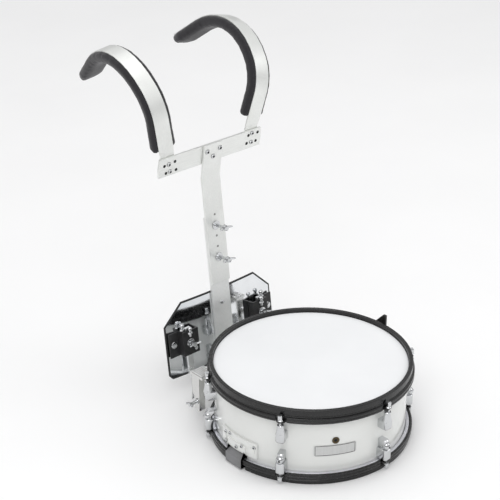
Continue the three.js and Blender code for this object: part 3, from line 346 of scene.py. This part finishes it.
def rounded(points, radius, steps=4):
    """A closed outline with each corner rounded. A point may carry its own radius as a third value."""
    made = []
    count = len(points)
    for i, point in enumerate(points):
        here = Vector(point[:2])
        reach = point[2] if len(point) > 2 else radius
        before = Vector(points[i - 1][:2]) - here
        after = Vector(points[(i + 1) % count][:2]) - here
        if reach <= 0 or before.length < 1e-6 or after.length < 1e-6:
            made.append(tuple(here))
            continue
        turn = before.angle(after)
        run = min(reach / max(math.tan(turn / 2), 1e-3), before.length * 0.49, after.length * 0.49)
        start = here + before.normalized() * run
        end = here + after.normalized() * run
        for k in range(steps + 1):
            t = k / steps
            made.append(tuple(start * (1 - t) ** 2 + here * 2 * t * (1 - t) + end * t * t))
    return made


def prism(bm, outline, low, high, place, edge=0.4, slot=0):
    """An outline in the frame's X and Y, from low to high along Z, with eased edges."""
    middle = sum((Vector(p) for p in outline), Vector((0, 0))) / len(outline)
    size = max((Vector(p) - middle).length for p in outline)
    share = max(0.0, 1 - edge / size)
    inset = [tuple(middle + (Vector(p) - middle) * share) for p in outline]
    edge = min(edge, (high - low) / 2.1)
    layers = [(inset, low), (outline, low + edge), (outline, high - edge), (inset, high)]
    loft(bm, [[(x, y, z) for x, y in ring] for ring, z in layers], place, slot=slot)


def tube(bm, path, radius, place, sides=10, closed=False, slot=0):
    """A round bead along a path."""
    points = [Vector(p) for p in path]
    count = len(points)
    rings = []
    for i, point in enumerate(points):
        if closed:
            along = points[(i + 1) % count] - points[i - 1]
        else:
            along = points[min(i + 1, count - 1)] - points[max(i - 1, 0)]
        along.normalize()
        side = along.cross(Vector((0, 1, 0)))
        if side.length < 0.1:
            side = along.cross(Vector((1, 0, 0)))
        side.normalize()
        up = side.cross(along)
        turns = [2 * math.pi * k / sides for k in range(sides)]
        rings.append([point + side * radius * math.cos(a) + up * radius * math.sin(a) for a in turns])
    loft(bm, rings, place, closed=closed, slot=slot)


def piece(name, bm, body, materials, replaces=(), sharp=35, bevel=0.0):
    bmesh.ops.remove_doubles(bm, verts=bm.verts, dist=1e-7)
    bmesh.ops.recalc_face_normals(bm, faces=bm.faces)
    mesh = bpy.data.meshes.new(name)
    bm.to_mesh(mesh)
    bm.free()
    made = bpy.data.objects.new(name, mesh)
    bpy.context.scene.collection.objects.link(made)
    for material in materials if isinstance(materials, (list, tuple)) else [materials]:
        mesh.materials.append(material)
    mesh.polygons.foreach_set("use_smooth", [True] * len(mesh.polygons))
    mesh.set_sharp_from_angle(angle=math.radians(sharp))
    if bevel:
        cut = made.modifiers.new("edges", "BEVEL")
        cut.width = bevel * MM
        cut.segments = 3
        cut.limit_method = "ANGLE"
        cut.angle_limit = math.radians(38)
        cut.harden_normals = True
    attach(made, body)
    if replaces:
        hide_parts(*replaces)
    return made


def dressed(node, material, bevel=0.6, sharp=38):
    """The CAD solid itself, its flat faces joined and its edges eased."""
    bm = bmesh.new()
    bm.from_mesh(frame["nodes"][node].data)
    bmesh.ops.remove_doubles(bm, verts=bm.verts, dist=2e-6)
    bmesh.ops.dissolve_limit(bm, angle_limit=math.radians(1.5), verts=bm.verts, edges=bm.edges)
    return piece(node + "_form", bm, NODE_BODY[node], material, [node], sharp, bevel)


def carve(target, cutters):
    """Cuts boxes out of a piece and applies the cut."""
    bm = bmesh.new()
    for low, high, place in cutters:
        low, high = Vector(low), Vector(high)
        box = place @ Matrix.Translation((low + high) / 2) @ Matrix.Diagonal((*(high - low), 1))
        bmesh.ops.create_cube(bm, size=1, matrix=box)
    mesh = bpy.data.meshes.new("cutter")
    bm.to_mesh(mesh)
    bm.free()
    tool = bpy.data.objects.new("cutter", mesh)
    bpy.context.scene.collection.objects.link(tool)
    cut = target.modifiers.new("cut", "BOOLEAN")
    cut.object = tool
    cut.solver = "EXACT"
    bpy.context.view_layer.update()
    whole = bpy.data.meshes.new_from_object(target.evaluated_get(bpy.context.evaluated_depsgraph_get()))
    target.modifiers.clear()
    target.data = whole
    whole.polygons.foreach_set("use_smooth", [True] * len(whole.polygons))
    whole.set_sharp_from_angle(angle=math.radians(30))
    bpy.data.objects.remove(tool)


def around(angle, base=DRUM):
    """A frame turned about the drum's axis, so that +X points out at the angle."""
    return base @ Matrix.Rotation(math.radians(angle), 4, "Z")


def on_shell(radius, angle, z):
    a = math.radians(angle)
    return (radius * math.cos(a), radius * math.sin(a), z)


def facing(place):
    """Turns a frame so that +Z points along its -Y."""
    return place @ Matrix.Rotation(math.pi / 2, 4, "X")


def along_edge(corners, step, least):
    """Points about a step apart along a closed outline."""
    path = []
    for i, (x0, z0) in enumerate(corners):
        x1, z1 = corners[(i + 1) % len(corners)]
        count = max(least, int(math.hypot(x1 - x0, z1 - z0) / step))
        path += [(x0 + (x1 - x0) * k / count, z0 + (z1 - z0) * k / count) for k in range(count)]
    return path


# Shell, heads and hoops
def make_shell():
    bm = bmesh.new()
    wall = [(SHELL_INNER, SHELL_LOW), (SHELL_R, SHELL_LOW), (SHELL_R, SHELL_TOP), (SHELL_INNER, SHELL_TOP)]
    lathe(bm, rounded(wall, 0.8), DRUM, 256)
    piece("shell_form", bm, "drum", WHITE, ["shell"])


def make_head(name, film_z, up):
    """The film with its bent collar, and the flesh ring below it."""
    z = lambda drop: film_z - up * drop
    bm = bmesh.new()
    face = [(0, z(0)), (60, z(0)), (140, z(0)), (162, z(0)), (164.6, z(0.1)), (165.7, z(0.5))]
    edge = [(COLLAR_R, z(1.2)), (COLLAR_R, z(COLLAR_DEPTH)), (COLLAR_INNER, z(COLLAR_DEPTH))]
    back = [(COLLAR_INNER, z(1.3)), (164.2, z(0.5)), (150, z(FILM_THICK)), (0, z(FILM_THICK))]
    lathe(bm, face + edge + back, DRUM, 256, closed=False)
    piece(name + "_film", bm, "drum", FILM, [name], 50)
    bm = bmesh.new()
    low, high = sorted((z(COLLAR_DEPTH), z(COLLAR_DEPTH + FLESH_DEPTH)))
    ring = [(COLLAR_INNER, low), (FLESH_R, low), (FLESH_R, high), (COLLAR_INNER, high)]
    lathe(bm, rounded(ring, 1.6), DRUM, 192)
    piece(name + "_flesh_ring", bm, "drum", FLESH, [name])


def make_hoop(name, rim, edge, up, gate):
    """A hoop with grooves in its face, an ear at each rod and, where it has a gate, a cut for each strap."""
    z = lambda drop: rim - up * drop
    e = lambda rise: edge + up * rise
    bm = bmesh.new()
    profile = [
        (166.6, z(12.2), 0), (HOOP_NECK, z(12.2), 0), (HOOP_NECK, e(0), 0.4), (HOOP_R, e(0), 1.2),
        (HOOP_R, e(3.3), 0.7), (175.7, e(3.9), 0.4), (175.7, e(5.0), 0.4), (HOOP_R, e(5.6), 0.7),
        (HOOP_R, e(9.4), 1.6), (173.2, e(10.4), 0.6), (173.0, e(12.6), 0.4), (HOOP_BAND, e(13.4), 0.6),
        (HOOP_BAND, z(0), 2.0), (170.9, z(0), 0.5), (170.6, z(0.5), 0.3), (169.6, z(0.5), 0.3),
        (169.3, z(0), 0.5), (166.7, z(0), 1.8),
    ]
    lathe(bm, rounded(profile, 0.4, 5), DRUM, 240)
    ring = piece(name + "_form", bm, "drum", HOOP, [name])
    cuts = []
    seat = e(4.6)
    under = e(1.6)
    for angle in ROD_ANGLES:
        for near, ends in ((174.1, (seat, z(-2))), (170, (e(-2), under))):
            low, high = sorted(ends)
            cuts.append(((near, -NOTCH_HALF, low), (NOTCH_OUT, NOTCH_HALF, high), around(angle)))
    if gate:
        for angle in (0, 180):
            cuts.append(((160, -GATE_HALF, -2), (180, GATE_HALF, GATE_TOP), around(angle)))
    carve(ring, cuts)
    bm = bmesh.new()
    low, high = sorted((under, seat))
    root, out = 172.6, 182.4
    corners = [(root, -EAR_HALF, 0.5), (out, -EAR_HALF, 5), (out, EAR_HALF, 5), (root, EAR_HALF, 0.5)]
    for angle in ROD_ANGLES:
        prism(bm, rounded(corners, 1, 6), low, high, around(angle), 0.6)
    piece(name + "_ears", bm, "drum", HOOP, [name], 50)


# Lugs and rods
def lug_outline(half, out, corner, steps):
    corners = [(LUG_FOOT, -half, 0.3), (out, -half, corner), (out, half, corner), (LUG_FOOT, half, 0.3)]
    return rounded(corners, 1, steps)


def lug_body(bm, place, layers):
    """The block of a lug through layers of height, share and lean. Its foot keeps its place on the shell."""
    rings = []
    for z, share, lean in layers:
        ring = []
        for x, y in lug_outline(8, 184.8, 5.5, 6):
            if x > SHELL_R:
                x = (x - LUG_MIDDLE) * share + LUG_MIDDLE + lean
            ring.append((x, y * share, z))
        rings.append(ring)
    loft(bm, rings, place)


def upper_lug(bm, angle):
    """A block that carries a cone."""
    place = around(angle)
    lug_body(bm, place, (
        (79.6, 0.72, -2.2), (80.2, 0.84, -1.3), (81.6, 0.95, -0.4), (83.6, 1, 0),
        (94.4, 1, 0), (96.0, 0.97, 0), (97.0, 0.88, 0.8),
    ))
    cone = [
        (8.0, 94.5), (8.1, 96.0), (7.5, 97.6), (6.6, 102), (5.9, 108), (5.6, 110.2),
        (6.0, 110.8), (6.0, 113.0), (5.4, 113.9), (3.3, 114.0), (3.3, 108),
    ]
    lathe(bm, cone, place @ Matrix.Translation((ROD_R - 1.2, 0, 0)), 40, closed=False)


def lower_lug(bm, angle):
    """A block with a neck that carries a ball."""
    place = around(angle)
    lug_body(bm, place, (
        (20.7, 0.8, 0), (21.4, 0.9, 0), (22.8, 0.98, 0), (24.5, 1, 0),
        (39.0, 1, 0), (40.6, 0.97, 0), (41.6, 0.86, 0),
    ))
    prism(bm, lug_outline(5.3, 181.5, 4, 5), 40.5, 58.4, place, 1.4)
    turns = [math.radians(-88 + 11 * i) for i in range(17)]
    ball = [(BALL_R * math.cos(a), BALL_R * math.sin(a) + BALL_Z) for a in turns]
    lathe(bm, ball, place @ Matrix.Translation((ROD_R, 0, 0)), 36, closed=False)


def lug_hole_shade(bm, angle):
    """A dark disc of painted shade in the lower lug's ball, standing for the shade in its cross hole."""
    face = Matrix.Translation((ROD_R + 6.75, 0, BALL_Z))
    place = around(angle) @ face @ Matrix.Rotation(math.pi / 2, 4, "Y")
    lathe(bm, [(0, -0.6), (1.9, -0.6), (1.9, 0.35), (1.5, 0.5), (0, 0.5)], place, 24, closed=False)


def rod(bm, tip, seat, up, place):
    """A threaded rod with its collar and its square key."""
    profile = [(0, tip), (2.2, tip), (2.8, tip + up)]
    z = tip + up
    while (seat - z) * up > 1.0:
        profile += [(THREAD_R, z + up * 0.3), (THREAD_CORE, z + up * 0.6)]
        z += up * THREAD_PITCH
    profile += [
        (2.8, seat), (2.8, seat + up * 0.3), (4.6, seat + up * 0.3), (4.9, seat + up * 0.7),
        (4.9, seat + up * 1.5), (4.2, seat + up * 2.2), (3.7, seat + up * 2.9), (3.0, seat + up * 3.1),
    ]
    lathe(bm, profile, place, 32, closed=False)
    key = rounded([(-3.5, -3.5), (3.5, -3.5), (3.5, 3.5), (-3.5, 3.5)], 0.8, 3)
    low, high = sorted((seat + up * 2.7, seat + up * 10.9))
    prism(bm, key, low, high, place, 0.7)


def make_lugs_and_rods():
    for i, angle in enumerate(ROD_ANGLES, 1):
        turn = Matrix.Rotation(math.radians(angle), 4, "Z")
        at = DRUM @ Matrix.Translation(on_shell(ROD_R, angle, 0)) @ turn
        for name, build in (("upper_lug", upper_lug), ("lower_lug", lower_lug)):
            bm = bmesh.new()
            build(bm, angle)
            piece(f"{name}_{i}_form", bm, "drum", CHROME, [f"{name}_{i}"], 32)
        for end, tip, seat, up in RODS:
            bm = bmesh.new()
            rod(bm, tip, seat, up, at)
            name = f"{end}_rod_{i}"
            piece(name + "_form", bm, name, CHROME, [f"{end}_tension_rod_{i}"], 40)
    # Painted shade: a dark disc in each lower lug's cross hole.
    bm = bmesh.new()
    for angle in ROD_ANGLES:
        lug_hole_shade(bm, angle)
    piece("lug_cross_hole_shade", bm, "drum", PAINTED_SHADE)


# Badge and vent
def curved_sheet(bm, centre, half_angle, low, high, radius, thick, slot=0, corner=2.0, steps=28):
    """A sheet on the shell with rounded corners."""
    rings = []
    run = math.radians(half_angle) * radius
    for i in range(steps + 1):
        s = -run + 2 * run * i / steps
        near = run - abs(s)
        cut = corner - math.sqrt(max(corner ** 2 - (corner - near) ** 2, 0)) if near < corner else 0
        angle = centre + math.degrees(s / radius)
        rings.append([
            on_shell(radius, angle, low + cut), on_shell(radius + thick, angle, low + cut),
            on_shell(radius + thick, angle, high - cut), on_shell(radius, angle, high - cut),
        ])
    loft(bm, rings, DRUM, slot=slot)


def make_badge():
    """The bare badge plate with its edge, and the vent above it."""
    bm = bmesh.new()
    curved_sheet(bm, BADGE_ANGLE, BADGE_HALF, BADGE_LOW, BADGE_HIGH, SHELL_R + 0.2, 0.75)
    piece("badge_face", bm, "drum", BADGE, ["badge_plate"], 30)
    bm = bmesh.new()
    edge = []
    for side in (-1, 1):
        for k in range(25):
            turn = BADGE_ANGLE + side * (-BADGE_EDGE_HALF + 2 * BADGE_EDGE_HALF * k / 24)
            edge.append(on_shell(SHELL_R + 0.9, turn, (BADGE_LOW + BADGE_HIGH) / 2 - side * 8.9))
    tube(bm, edge, 0.42, DRUM, 8, closed=True)
    piece("badge_border", bm, "drum", BLACK)
    bm = bmesh.new()
    place = around(BADGE_ANGLE) @ Matrix.Translation((0, 0, VENT_Z)) @ Matrix.Rotation(math.pi / 2, 4, "Y")
    eyelet = [
        (2.6, 157.5, 0.1), (4.2, 157.5, 0.1), (4.2, 165.2, 0.1), (6.2, 165.2, 0.3), (6.1, 166.4, 0.5),
        (4.6, 166.6, 0.6), (2.6, 165.9, 0.8),
    ]
    lathe(bm, rounded(eyelet, 0.3, 4), place, 48)
    piece("vent_eyelet", bm, "drum", BRONZE, ["vent_grommet"], 40)
    # Painted shade: a dark plug in the vent's bore.
    bm = bmesh.new()
    lathe(bm, [(0, 158), (2.7, 158), (2.7, 165.4), (0, 165.4)], place, 24, closed=False)
    piece("vent_bore_shade", bm, "drum", PAINTED_SHADE)


# Snare wires
def make_snares():
    """The wires, as coils told by their beaded outline, and the plate at each end."""
    bm = bmesh.new()
    for i in range(WIRES):
        y = (i - (WIRES - 1) / 2) * WIRE_PITCH
        rings = []
        for k in range(WIRE_STEPS + 1):
            x = -WIRE_HALF + 2 * WIRE_HALF * k / WIRE_STEPS
            radius = 0.88 if k % 2 else 0.6
            turns = [math.pi * s / 3 for s in range(6)]
            rings.append([(x, y + radius * math.cos(a), WIRE_Z + radius * math.sin(a)) for a in turns])
        loft(bm, rings, DRUM)
    for side in (-1, 1):
        near, far = sorted((side * 136, side * 150))
        plate = rounded([(near, -20.9), (far, -20.9), (far, 20.9), (near, 20.9)], 1.5)
        prism(bm, plate, 4.05, 5.2, DRUM, 0.3)
    piece("snare_wire_set", bm, "snares", STEEL, ["snare_wires"], 60)


# Screws
def wing_screw(name, body, node, place, reach, tail, size=1.0):
    """The screw points along -Y of its frame, with its washer's back at zero."""
    turn = facing(place)
    hub = max(5.5 * size, 3.3)
    root = 4.5 * size
    span = 13 * size
    bm = bmesh.new()
    washer = rounded([(0.01, 0, 0), (8 * size, 0), (8 * size, 1.9), (0.01, 1.9, 0)], 0.5, 3)
    lathe(bm, washer, turn, 40, closed=False)
    shank = [(0, -tail), (2.4, -tail), (2.95, -tail + 0.8), (2.95, reach - 1), (0, reach)]
    lathe(bm, shank, turn, 28, closed=False)
    boss = [
        (0, reach - 2 * root), (hub * 0.8, reach - 2 * root), (hub, reach - 1.7 * root),
        (hub * 0.85, reach - 0.4), (hub * 0.55, reach - 0.02), (0, reach),
    ]
    lathe(bm, boss, turn, 32, closed=False)
    for side in (-1, 1):
        wing = []
        for k in range(9):
            share = k / 8
            x = side * (hub * 0.5 + (span - hub * 0.5) * share)
            lift = 4.6 * size * share ** 1.5
            taper = 1 - 0.75 * max(share - 0.8, 0) * 5 * 0.6
            half = (2.9 + 1.9 * math.sin(math.pi * min(share * 1.1, 1) * 0.8)) * size * taper
            thick = 1.65 * (1 - 0.35 * share)
            z = reach - root + lift - 1.2 * size
            turns = [math.pi * 2 * s / 12 for s in range(12)]
            wing.append([(x, thick * math.cos(a), z + half * math.sin(a)) for a in turns])
        loft(bm, wing, turn)
    return piece(name, bm, body, CHROME, [node], 40)


def dome_screw(bm, place, radius, height, slot=0):
    """A domed head, facing along -Y of the frame."""
    profile = [
        (0, 0), (radius, 0), (radius, height * 0.3),
        (radius * 0.86, height * 0.7), (radius * 0.5, height * 0.95), (0, height),
    ]
    lathe(bm, profile, facing(place), 28, closed=False, slot=slot)


def hex_head(bm, place, radius, height):
    """A six-sided head, facing along -Y of the frame."""
    profile = [
        (0, 0), (radius * 0.98, 0), (radius, 0.3),
        (radius, height - 0.5), (radius * 0.9, height), (0, height),
    ]
    lathe(bm, profile, facing(place), 6, closed=False)


def shade_disc(bm, place, radius, slot=0):
    """A dark disc of painted shade that stands for the shade inside a hole, facing along -Y of the frame."""
    profile = [(0, -0.5), (radius, -0.5), (radius, 0.12), (0, 0.12)]
    lathe(bm, profile, facing(place), 20, closed=False, slot=slot)


def make_wing_screws():
    """Each screw's piece, body and node carry the same holder and number or side."""
    def screw(holder, which, *shape):
        names = (f"{holder}_wing_{which}", f"{holder}_screw_{which}", f"{holder}_wing_screw_{which}")
        wing_screw(*names, *shape)

    for number, up in enumerate(STEM_SCREW_UP, 1):
        screw("stem", number, STEM @ Matrix.Translation((0, -4.6, up)), 30, 8.3)
    for name, side in SIDES:
        x, y, z = BRACKET_SCREW
        screw("bracket", name, STEM @ Matrix.Translation((side * x, y, z)), 14, 2.8)
        x, y, z = CLAMP_SCREW
        out = Matrix.Rotation(side * math.pi / 2, 4, "Z")
        screw("clamp", name, DRUM @ Matrix.Translation((side * x, y, z)) @ out, 18, 16, 0.62)


# Belly plate
def plate_bow(x):
    """How far the plate bends away from the stem at x."""
    return PLATE_R - math.sqrt(PLATE_R ** 2 - x ** 2)


def plate_span(x):
    """The plate's lowest and highest point at x."""
    a = abs(x)
    low, high = PLATE_LOW, PLATE_HIGH
    if a > PLATE_FOOT_HALF:
        low += (a - PLATE_FOOT_HALF) / (PLATE_HALF - PLATE_FOOT_HALF) * PLATE_CUT
    if a > PLATE_TOP_HALF:
        high -= (a - PLATE_TOP_HALF) / (PLATE_HALF - PLATE_TOP_HALF) * (PLATE_HIGH - PLATE_SHOULDER)
    return low, high


def make_plate():
    """The bowed mirror plate and the black edge around it."""
    bm = bmesh.new()
    even = {-PLATE_HALF + 2 * PLATE_HALF * i / 72 for i in range(73)}
    stations = sorted(even | {-PLATE_FOOT_HALF, PLATE_FOOT_HALF, -PLATE_TOP_HALF, PLATE_TOP_HALF})
    rings = []
    for x in stations:
        low, high = plate_span(x)
        y = plate_bow(x) + PLATE_FRONT
        rings.append([(x, y, low), (x, y, high), (x, y + PLATE_THICK, high), (x, y + PLATE_THICK, low)])
    loft(bm, rings, STEM)
    piece("belly_plate_sheet", bm, "carrier", MIRROR, ["belly_plate"], 30)
    bm = bmesh.new()
    path = [
        (x * TRIM_SHRINK, plate_bow(x) + 5.3, (z - PLATE_MIDDLE) * TRIM_SHRINK + PLATE_MIDDLE)
        for x, z in along_edge(PLATE, 6, 2)
    ]
    tube(bm, path, TRIM_R, STEM, 12, closed=True)
    piece("belly_plate_trim", bm, "carrier", RUBBER)


# Carrier metal
def make_carrier():
    """The metal shown in its CAD form, painted shade in the carrier's holes, and its screws and bolts."""
    # Painted light: the lower stem takes the lighter copy of the aluminium.
    dressed("lower_stem", LIT_ALUMINIUM, 0.5)
    dressed("upper_stem", ALUMINIUM, 0.5)
    dressed("crossbar", ALUMINIUM_ACROSS, 0.5)
    for name, _ in SIDES:
        dressed(f"shoulder_strip_{name}", ALUMINIUM, 0.5, 25)
        dressed(f"bracket_{name}", BLACK, 0.6)
        dressed(f"j_bar_{name}", STEEL, 0.7)
        dressed(f"hoop_clamp_{name}", CAST, 0.7)
    for node, material in (
        ("strainer_body", BLACK), ("strainer_lever", BLACK), ("strap_clamp", CHROME), ("tension_knob", BLACK),
        ("butt_plate", WHITE), ("butt_strap", STRAP), ("strainer_strap", STRAP),
    ):
        dressed(node, material, 0.4)
    # Painted shade: dark discs in the crossbar's holes and grey ones in the stem's holes.
    holes = bmesh.new()
    for x, z in CROSS_HOLES:
        shade_disc(holes, CROSS @ Matrix.Translation((x, GAP, z)), 2.9)
    for up in STEM_HOLES:
        shade_disc(holes, STEM @ Matrix.Translation((0, -PLATE_FRONT, up)), 2, 1)
    screws = bmesh.new()
    for x, z in CROSS_SCREWS:
        socket_screw(screws, holes, CROSS @ Matrix.Translation((x, GAP, z)), 3.9, 2.4)
    for x, z in STEM_SCREWS:
        socket_screw(screws, holes, CROSS @ Matrix.Translation((x, -4, z)), 4.2, 2.6)
    piece("carrier_hole_shade", holes, "harness", [PAINTED_SHADE, SHADE])
    piece("crossbar_screws", screws, "harness", CHROME)
    bm = bmesh.new()
    dome_screw(bm, STEM @ Matrix.Translation((0, 0, -9.6)), 4.2, 3.2)
    for side in (-1, 1):
        x, z = side * BRACKET_BOLT_X, BRACKET_SCREW[2]
        dome_screw(bm, STEM @ Matrix.Translation((x, 7.3, z)), 7.2, 4.2)
        hex_head(bm, STEM @ Matrix.Translation((x, 4.2, z)), 3.6, 2.2)
    piece("plate_bolts", bm, "carrier", CHROME)


def socket_screw(bm, dark, place, radius, height):
    """A bright domed head on a grey ring of painted shadow, with a dark disc of painted shade in its socket.
    """
    dome_screw(dark, place, radius + 0.4, 0.6, 1)
    dome_screw(bm, place, radius, height)
    dome_screw(dark, place @ Matrix.Translation((0, -height + 0.1, 0)), radius * 0.52, 0.35)


def make_butt_screws():
    screws = bmesh.new()
    # Painted shade: dark discs in the screw sockets and grey rings of painted shadow under the heads.
    sockets = bmesh.new()
    for angle, z in BUTT_SCREWS:
        out = 171.3 if z < BUTT_STEP else 169.3
        place = around(angle) @ Matrix.Translation((out, 0, z)) @ Matrix.Rotation(math.pi / 2, 4, "Z")
        socket_screw(screws, sockets, place, 3.1, 1.9)
    piece("butt_screws", screws, "drum", CHROME)
    piece("butt_screw_socket_shade", sockets, "drum", [PAINTED_SHADE, SHADE])


def make_bracket_fittings():
    """Two ball-headed posts and a nut at each bracket."""
    turns = [math.radians(a) for a in range(-90, 91, 15)]
    ball = [(4.2 * math.cos(a), 4.2 * math.sin(a)) for a in turns]
    for name, side in SIDES:
        bm = bmesh.new()
        for x, y, z in POSTS:
            post = STEM @ Matrix.Translation((side * x, y, z))
            lathe(bm, ball, post, 24, closed=False)
            lathe(bm, [(0, -14), (2.6, -14), (2.6, -3), (0, -3)], post, 20, closed=False)
            lathe(bm, [(0, -9), (4.6, -9), (4.6, -6.2), (4, -5.8), (0, -5.8)], post, 6, closed=False)
        x, z = NUT
        hex_head(bm, STEM @ Matrix.Translation((side * x, BRACKET_FRONT, z)), 3.8, 3.4)
        dome_screw(bm, STEM @ Matrix.Translation((side * x, BRACKET_FRONT - 3.2, z)), 2.4, 1.6)
        piece(f"bracket_fittings_{name}", bm, "carrier", CHROME, sharp=40)


# Pads
def inset_outline(points, inset):
    """The outline drawn in by an even distance. Its points run the same way round as the given ones."""
    made = []
    for i, point in enumerate(points):
        here = Vector(point)
        into = (here - Vector(points[i - 1])).normalized()
        out = (Vector(points[(i + 1) % len(points)]) - here).normalized()
        side_in = Vector((-into.y, into.x))
        side_out = Vector((-out.y, out.x))
        middle = (side_in + side_out).normalized()
        made.append(tuple(here + middle * inset / middle.dot(side_in)))
    return made


def make_belly_binding():
    """The bound edge sewn around the belly pad."""
    bm = bmesh.new()
    corners = rounded(inset_outline(PLATE, BINDING_INSET), 7, 5)
    path = [(x, plate_bow(x) + BINDING_DEPTH, z) for x, z in along_edge(corners, 5, 1)]
    tube(bm, path, BINDING_R, STEM, 12, closed=True)
    piece("belly_pad_binding", bm, "carrier", CLOTH, sharp=80)


def rest_on_plate(mesh):
    """Holds the pad's inner face at the back of the belly plate."""
    back = STEM.inverted()
    for vertex in mesh.vertices:
        x, y, z = back @ vertex.co
        vertex.co = STEM @ Vector((x, max(y, plate_bow(x) + PAD_REST), z))


def pad_form(node, swell, voxel, smooth, grow=0.0, rest=None):
    """A cushion grown from its solid: remeshed, blown up as cloth inside a cap, and smoothed."""
    made = bpy.data.objects.new(node + "_cushion", frame["nodes"][node].data.copy())
    bpy.context.scene.collection.objects.link(made)
    bpy.context.view_layer.objects.active = made
    grid = made.modifiers.new("grid", "REMESH")
    grid.mode = "VOXEL"
    grid.voxel_size = voxel * MM
    apply_all(made)
    start = [v.co.copy() for v in made.data.vertices]
    cloth = made.modifiers.new("cloth", "CLOTH")
    settings = cloth.settings
    settings.use_pressure = True
    settings.uniform_pressure_force = 4
    settings.effector_weights.gravity = 0
    settings.quality = 5
    cloth.collision_settings.use_collision = False
    for step in range(1, 13):
        bpy.context.scene.frame_set(step)
    apply_all(made)
    bpy.context.scene.frame_set(1)
    for vertex, first in zip(made.data.vertices, start):
        move = vertex.co - first
        if move.length > swell * MM:
            vertex.co = first + move.normalized() * swell * MM
    ease = made.modifiers.new("ease", "SMOOTH")
    ease.factor = 0.5
    ease.iterations = smooth
    apply_all(made)
    for vertex, normal in [(v, v.normal.copy()) for v in made.data.vertices]:
        vertex.co += normal * grow * MM
    if rest:
        rest(made.data)
    fine = made.modifiers.new("fine", "SUBSURF")
    fine.render_levels = 1
    fine.levels = 1
    mesh = made.data
    mesh.materials.clear()
    mesh.materials.append(CLOTH)
    mesh.polygons.foreach_set("use_smooth", [True] * len(mesh.polygons))
    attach(made, NODE_BODY[node])
    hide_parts(node)
    return made


def apply_all(made):
    """Bakes an object's modifiers into its mesh."""
    bpy.context.view_layer.update()
    mesh = bpy.data.meshes.new_from_object(made.evaluated_get(bpy.context.evaluated_depsgraph_get()))
    made.modifiers.clear()
    made.data = mesh


# Stage
def make_floor():
    bm = bmesh.new()
    level = Matrix.Translation((0, 0, -FOOT * MM - FLOOR_DROP))
    bmesh.ops.create_grid(bm, x_segments=2, y_segments=2, size=FLOOR_REACH * MM, matrix=level)
    mesh = bpy.data.meshes.new("floor")
    bm.to_mesh(mesh)
    bm.free()
    floor = bpy.data.objects.new("floor", mesh)
    bpy.context.scene.collection.objects.link(floor)
    m = Nodes("floor_paper")
    tone = m.blend(m.noise(3, 3), (0.95, 0.95, 0.95), (0.97, 0.97, 0.97))
    mesh.materials.append(m.finish(tone, m.ramp(m.noise(40, 3), 0.75, 0.85), Specular_IOR_Level=0.1))


def make_studio():
    """White where the camera sees it. The metal mirrors a pale room with a dark band at the horizon."""
    world = bpy.data.worlds.new("studio")
    bpy.context.scene.world = world
    world.use_nodes = True
    tree = world.node_tree
    back = tree.nodes["Background"]
    coords = tree.nodes.new("ShaderNodeTexCoord")
    split = tree.nodes.new("ShaderNodeSeparateXYZ")
    ramp = tree.nodes.new("ShaderNodeValToRGB")
    tree.links.new(coords.outputs["Generated"], split.inputs["Vector"])
    remap = tree.nodes.new("ShaderNodeMapRange")
    remap.inputs["From Min"].default_value = -1
    tree.links.new(split.outputs["Z"], remap.inputs["Value"])
    tree.links.new(remap.outputs["Result"], ramp.inputs["Fac"])
    stops = ramp.color_ramp.elements
    stops[0].position, stops[0].color = 0.0, (0.74, 0.74, 0.74, 1)
    stops[1].position, stops[1].color = 1.0, (0.8, 0.8, 0.8, 1)
    for position, value in SKY:
        stop = stops.new(position)
        stop.color = (value, value, value * 1.01, 1)
    rays = tree.nodes.new("ShaderNodeLightPath")
    mix = tree.nodes.new("ShaderNodeMix")
    mix.data_type = "RGBA"
    tree.links.new(rays.outputs["Is Camera Ray"], mix.inputs["Factor"])
    tree.links.new(ramp.outputs["Color"], mix.inputs["A"])
    mix.inputs["B"].default_value = (1, 1, 1, 1)
    tree.links.new(mix.outputs["Result"], back.inputs["Color"])
    back.inputs["Strength"].default_value = 1.0


def make_lights():
    for name, place, aim, size, power in LIGHTS:
        light = bpy.data.lights.new(name, "AREA")
        light.size = size
        light.energy = power
        lamp = bpy.data.objects.new(name, light)
        bpy.context.scene.collection.objects.link(lamp)
        lamp.location = place
        lamp.rotation_mode = "QUATERNION"
        lamp.rotation_quaternion = (Vector(aim) - Vector(place)).to_track_quat("-Z", "Y")


def make_camera():
    scene = bpy.context.scene
    yaw, pitch, roll = (math.radians(a) for a in CAMERA_ANGLES)
    ahead = Vector((-math.sin(yaw) * math.cos(pitch), math.cos(yaw) * math.cos(pitch), -math.sin(pitch)))
    level = Vector((math.cos(yaw), math.sin(yaw), 0))
    upright = level.cross(ahead)
    across = level * math.cos(roll) + upright * math.sin(roll)
    upward = upright * math.cos(roll) - level * math.sin(roll)
    data = bpy.data.cameras.new("camera")
    data.lens = LENS
    data.sensor_width = 36
    data.clip_end = 100
    camera = bpy.data.objects.new("camera", data)
    scene.collection.objects.link(camera)
    turn = Matrix((across, upward, -ahead)).transposed()
    camera.matrix_world = Matrix.Translation(CAMERA_PLACE) @ turn.to_4x4()
    scene.camera = camera
    scene.view_settings.view_transform = "Standard"


make_floor()
make_studio()
make_lights()
make_camera()
make_shell()
make_head("batter_head", FOOT, 1)
make_head("snare_head", SNARE_FILM, -1)
make_hoop("top_hoop", 141, 117, 1, False)
make_hoop("bottom_hoop", 0, 20, -1, True)
make_lugs_and_rods()
make_badge()
make_snares()
make_wing_screws()
make_plate()
make_carrier()
make_butt_screws()
make_bracket_fittings()
make_belly_binding()
pad_form("belly_pad", swell=4, voxel=2.5, smooth=6, grow=0.4, rest=rest_on_plate)
pad_form("shoulder_pad_left", swell=1.2, voxel=3, smooth=2, grow=1.6)
pad_form("shoulder_pad_right", swell=1.2, voxel=3, smooth=2, grow=1.6)
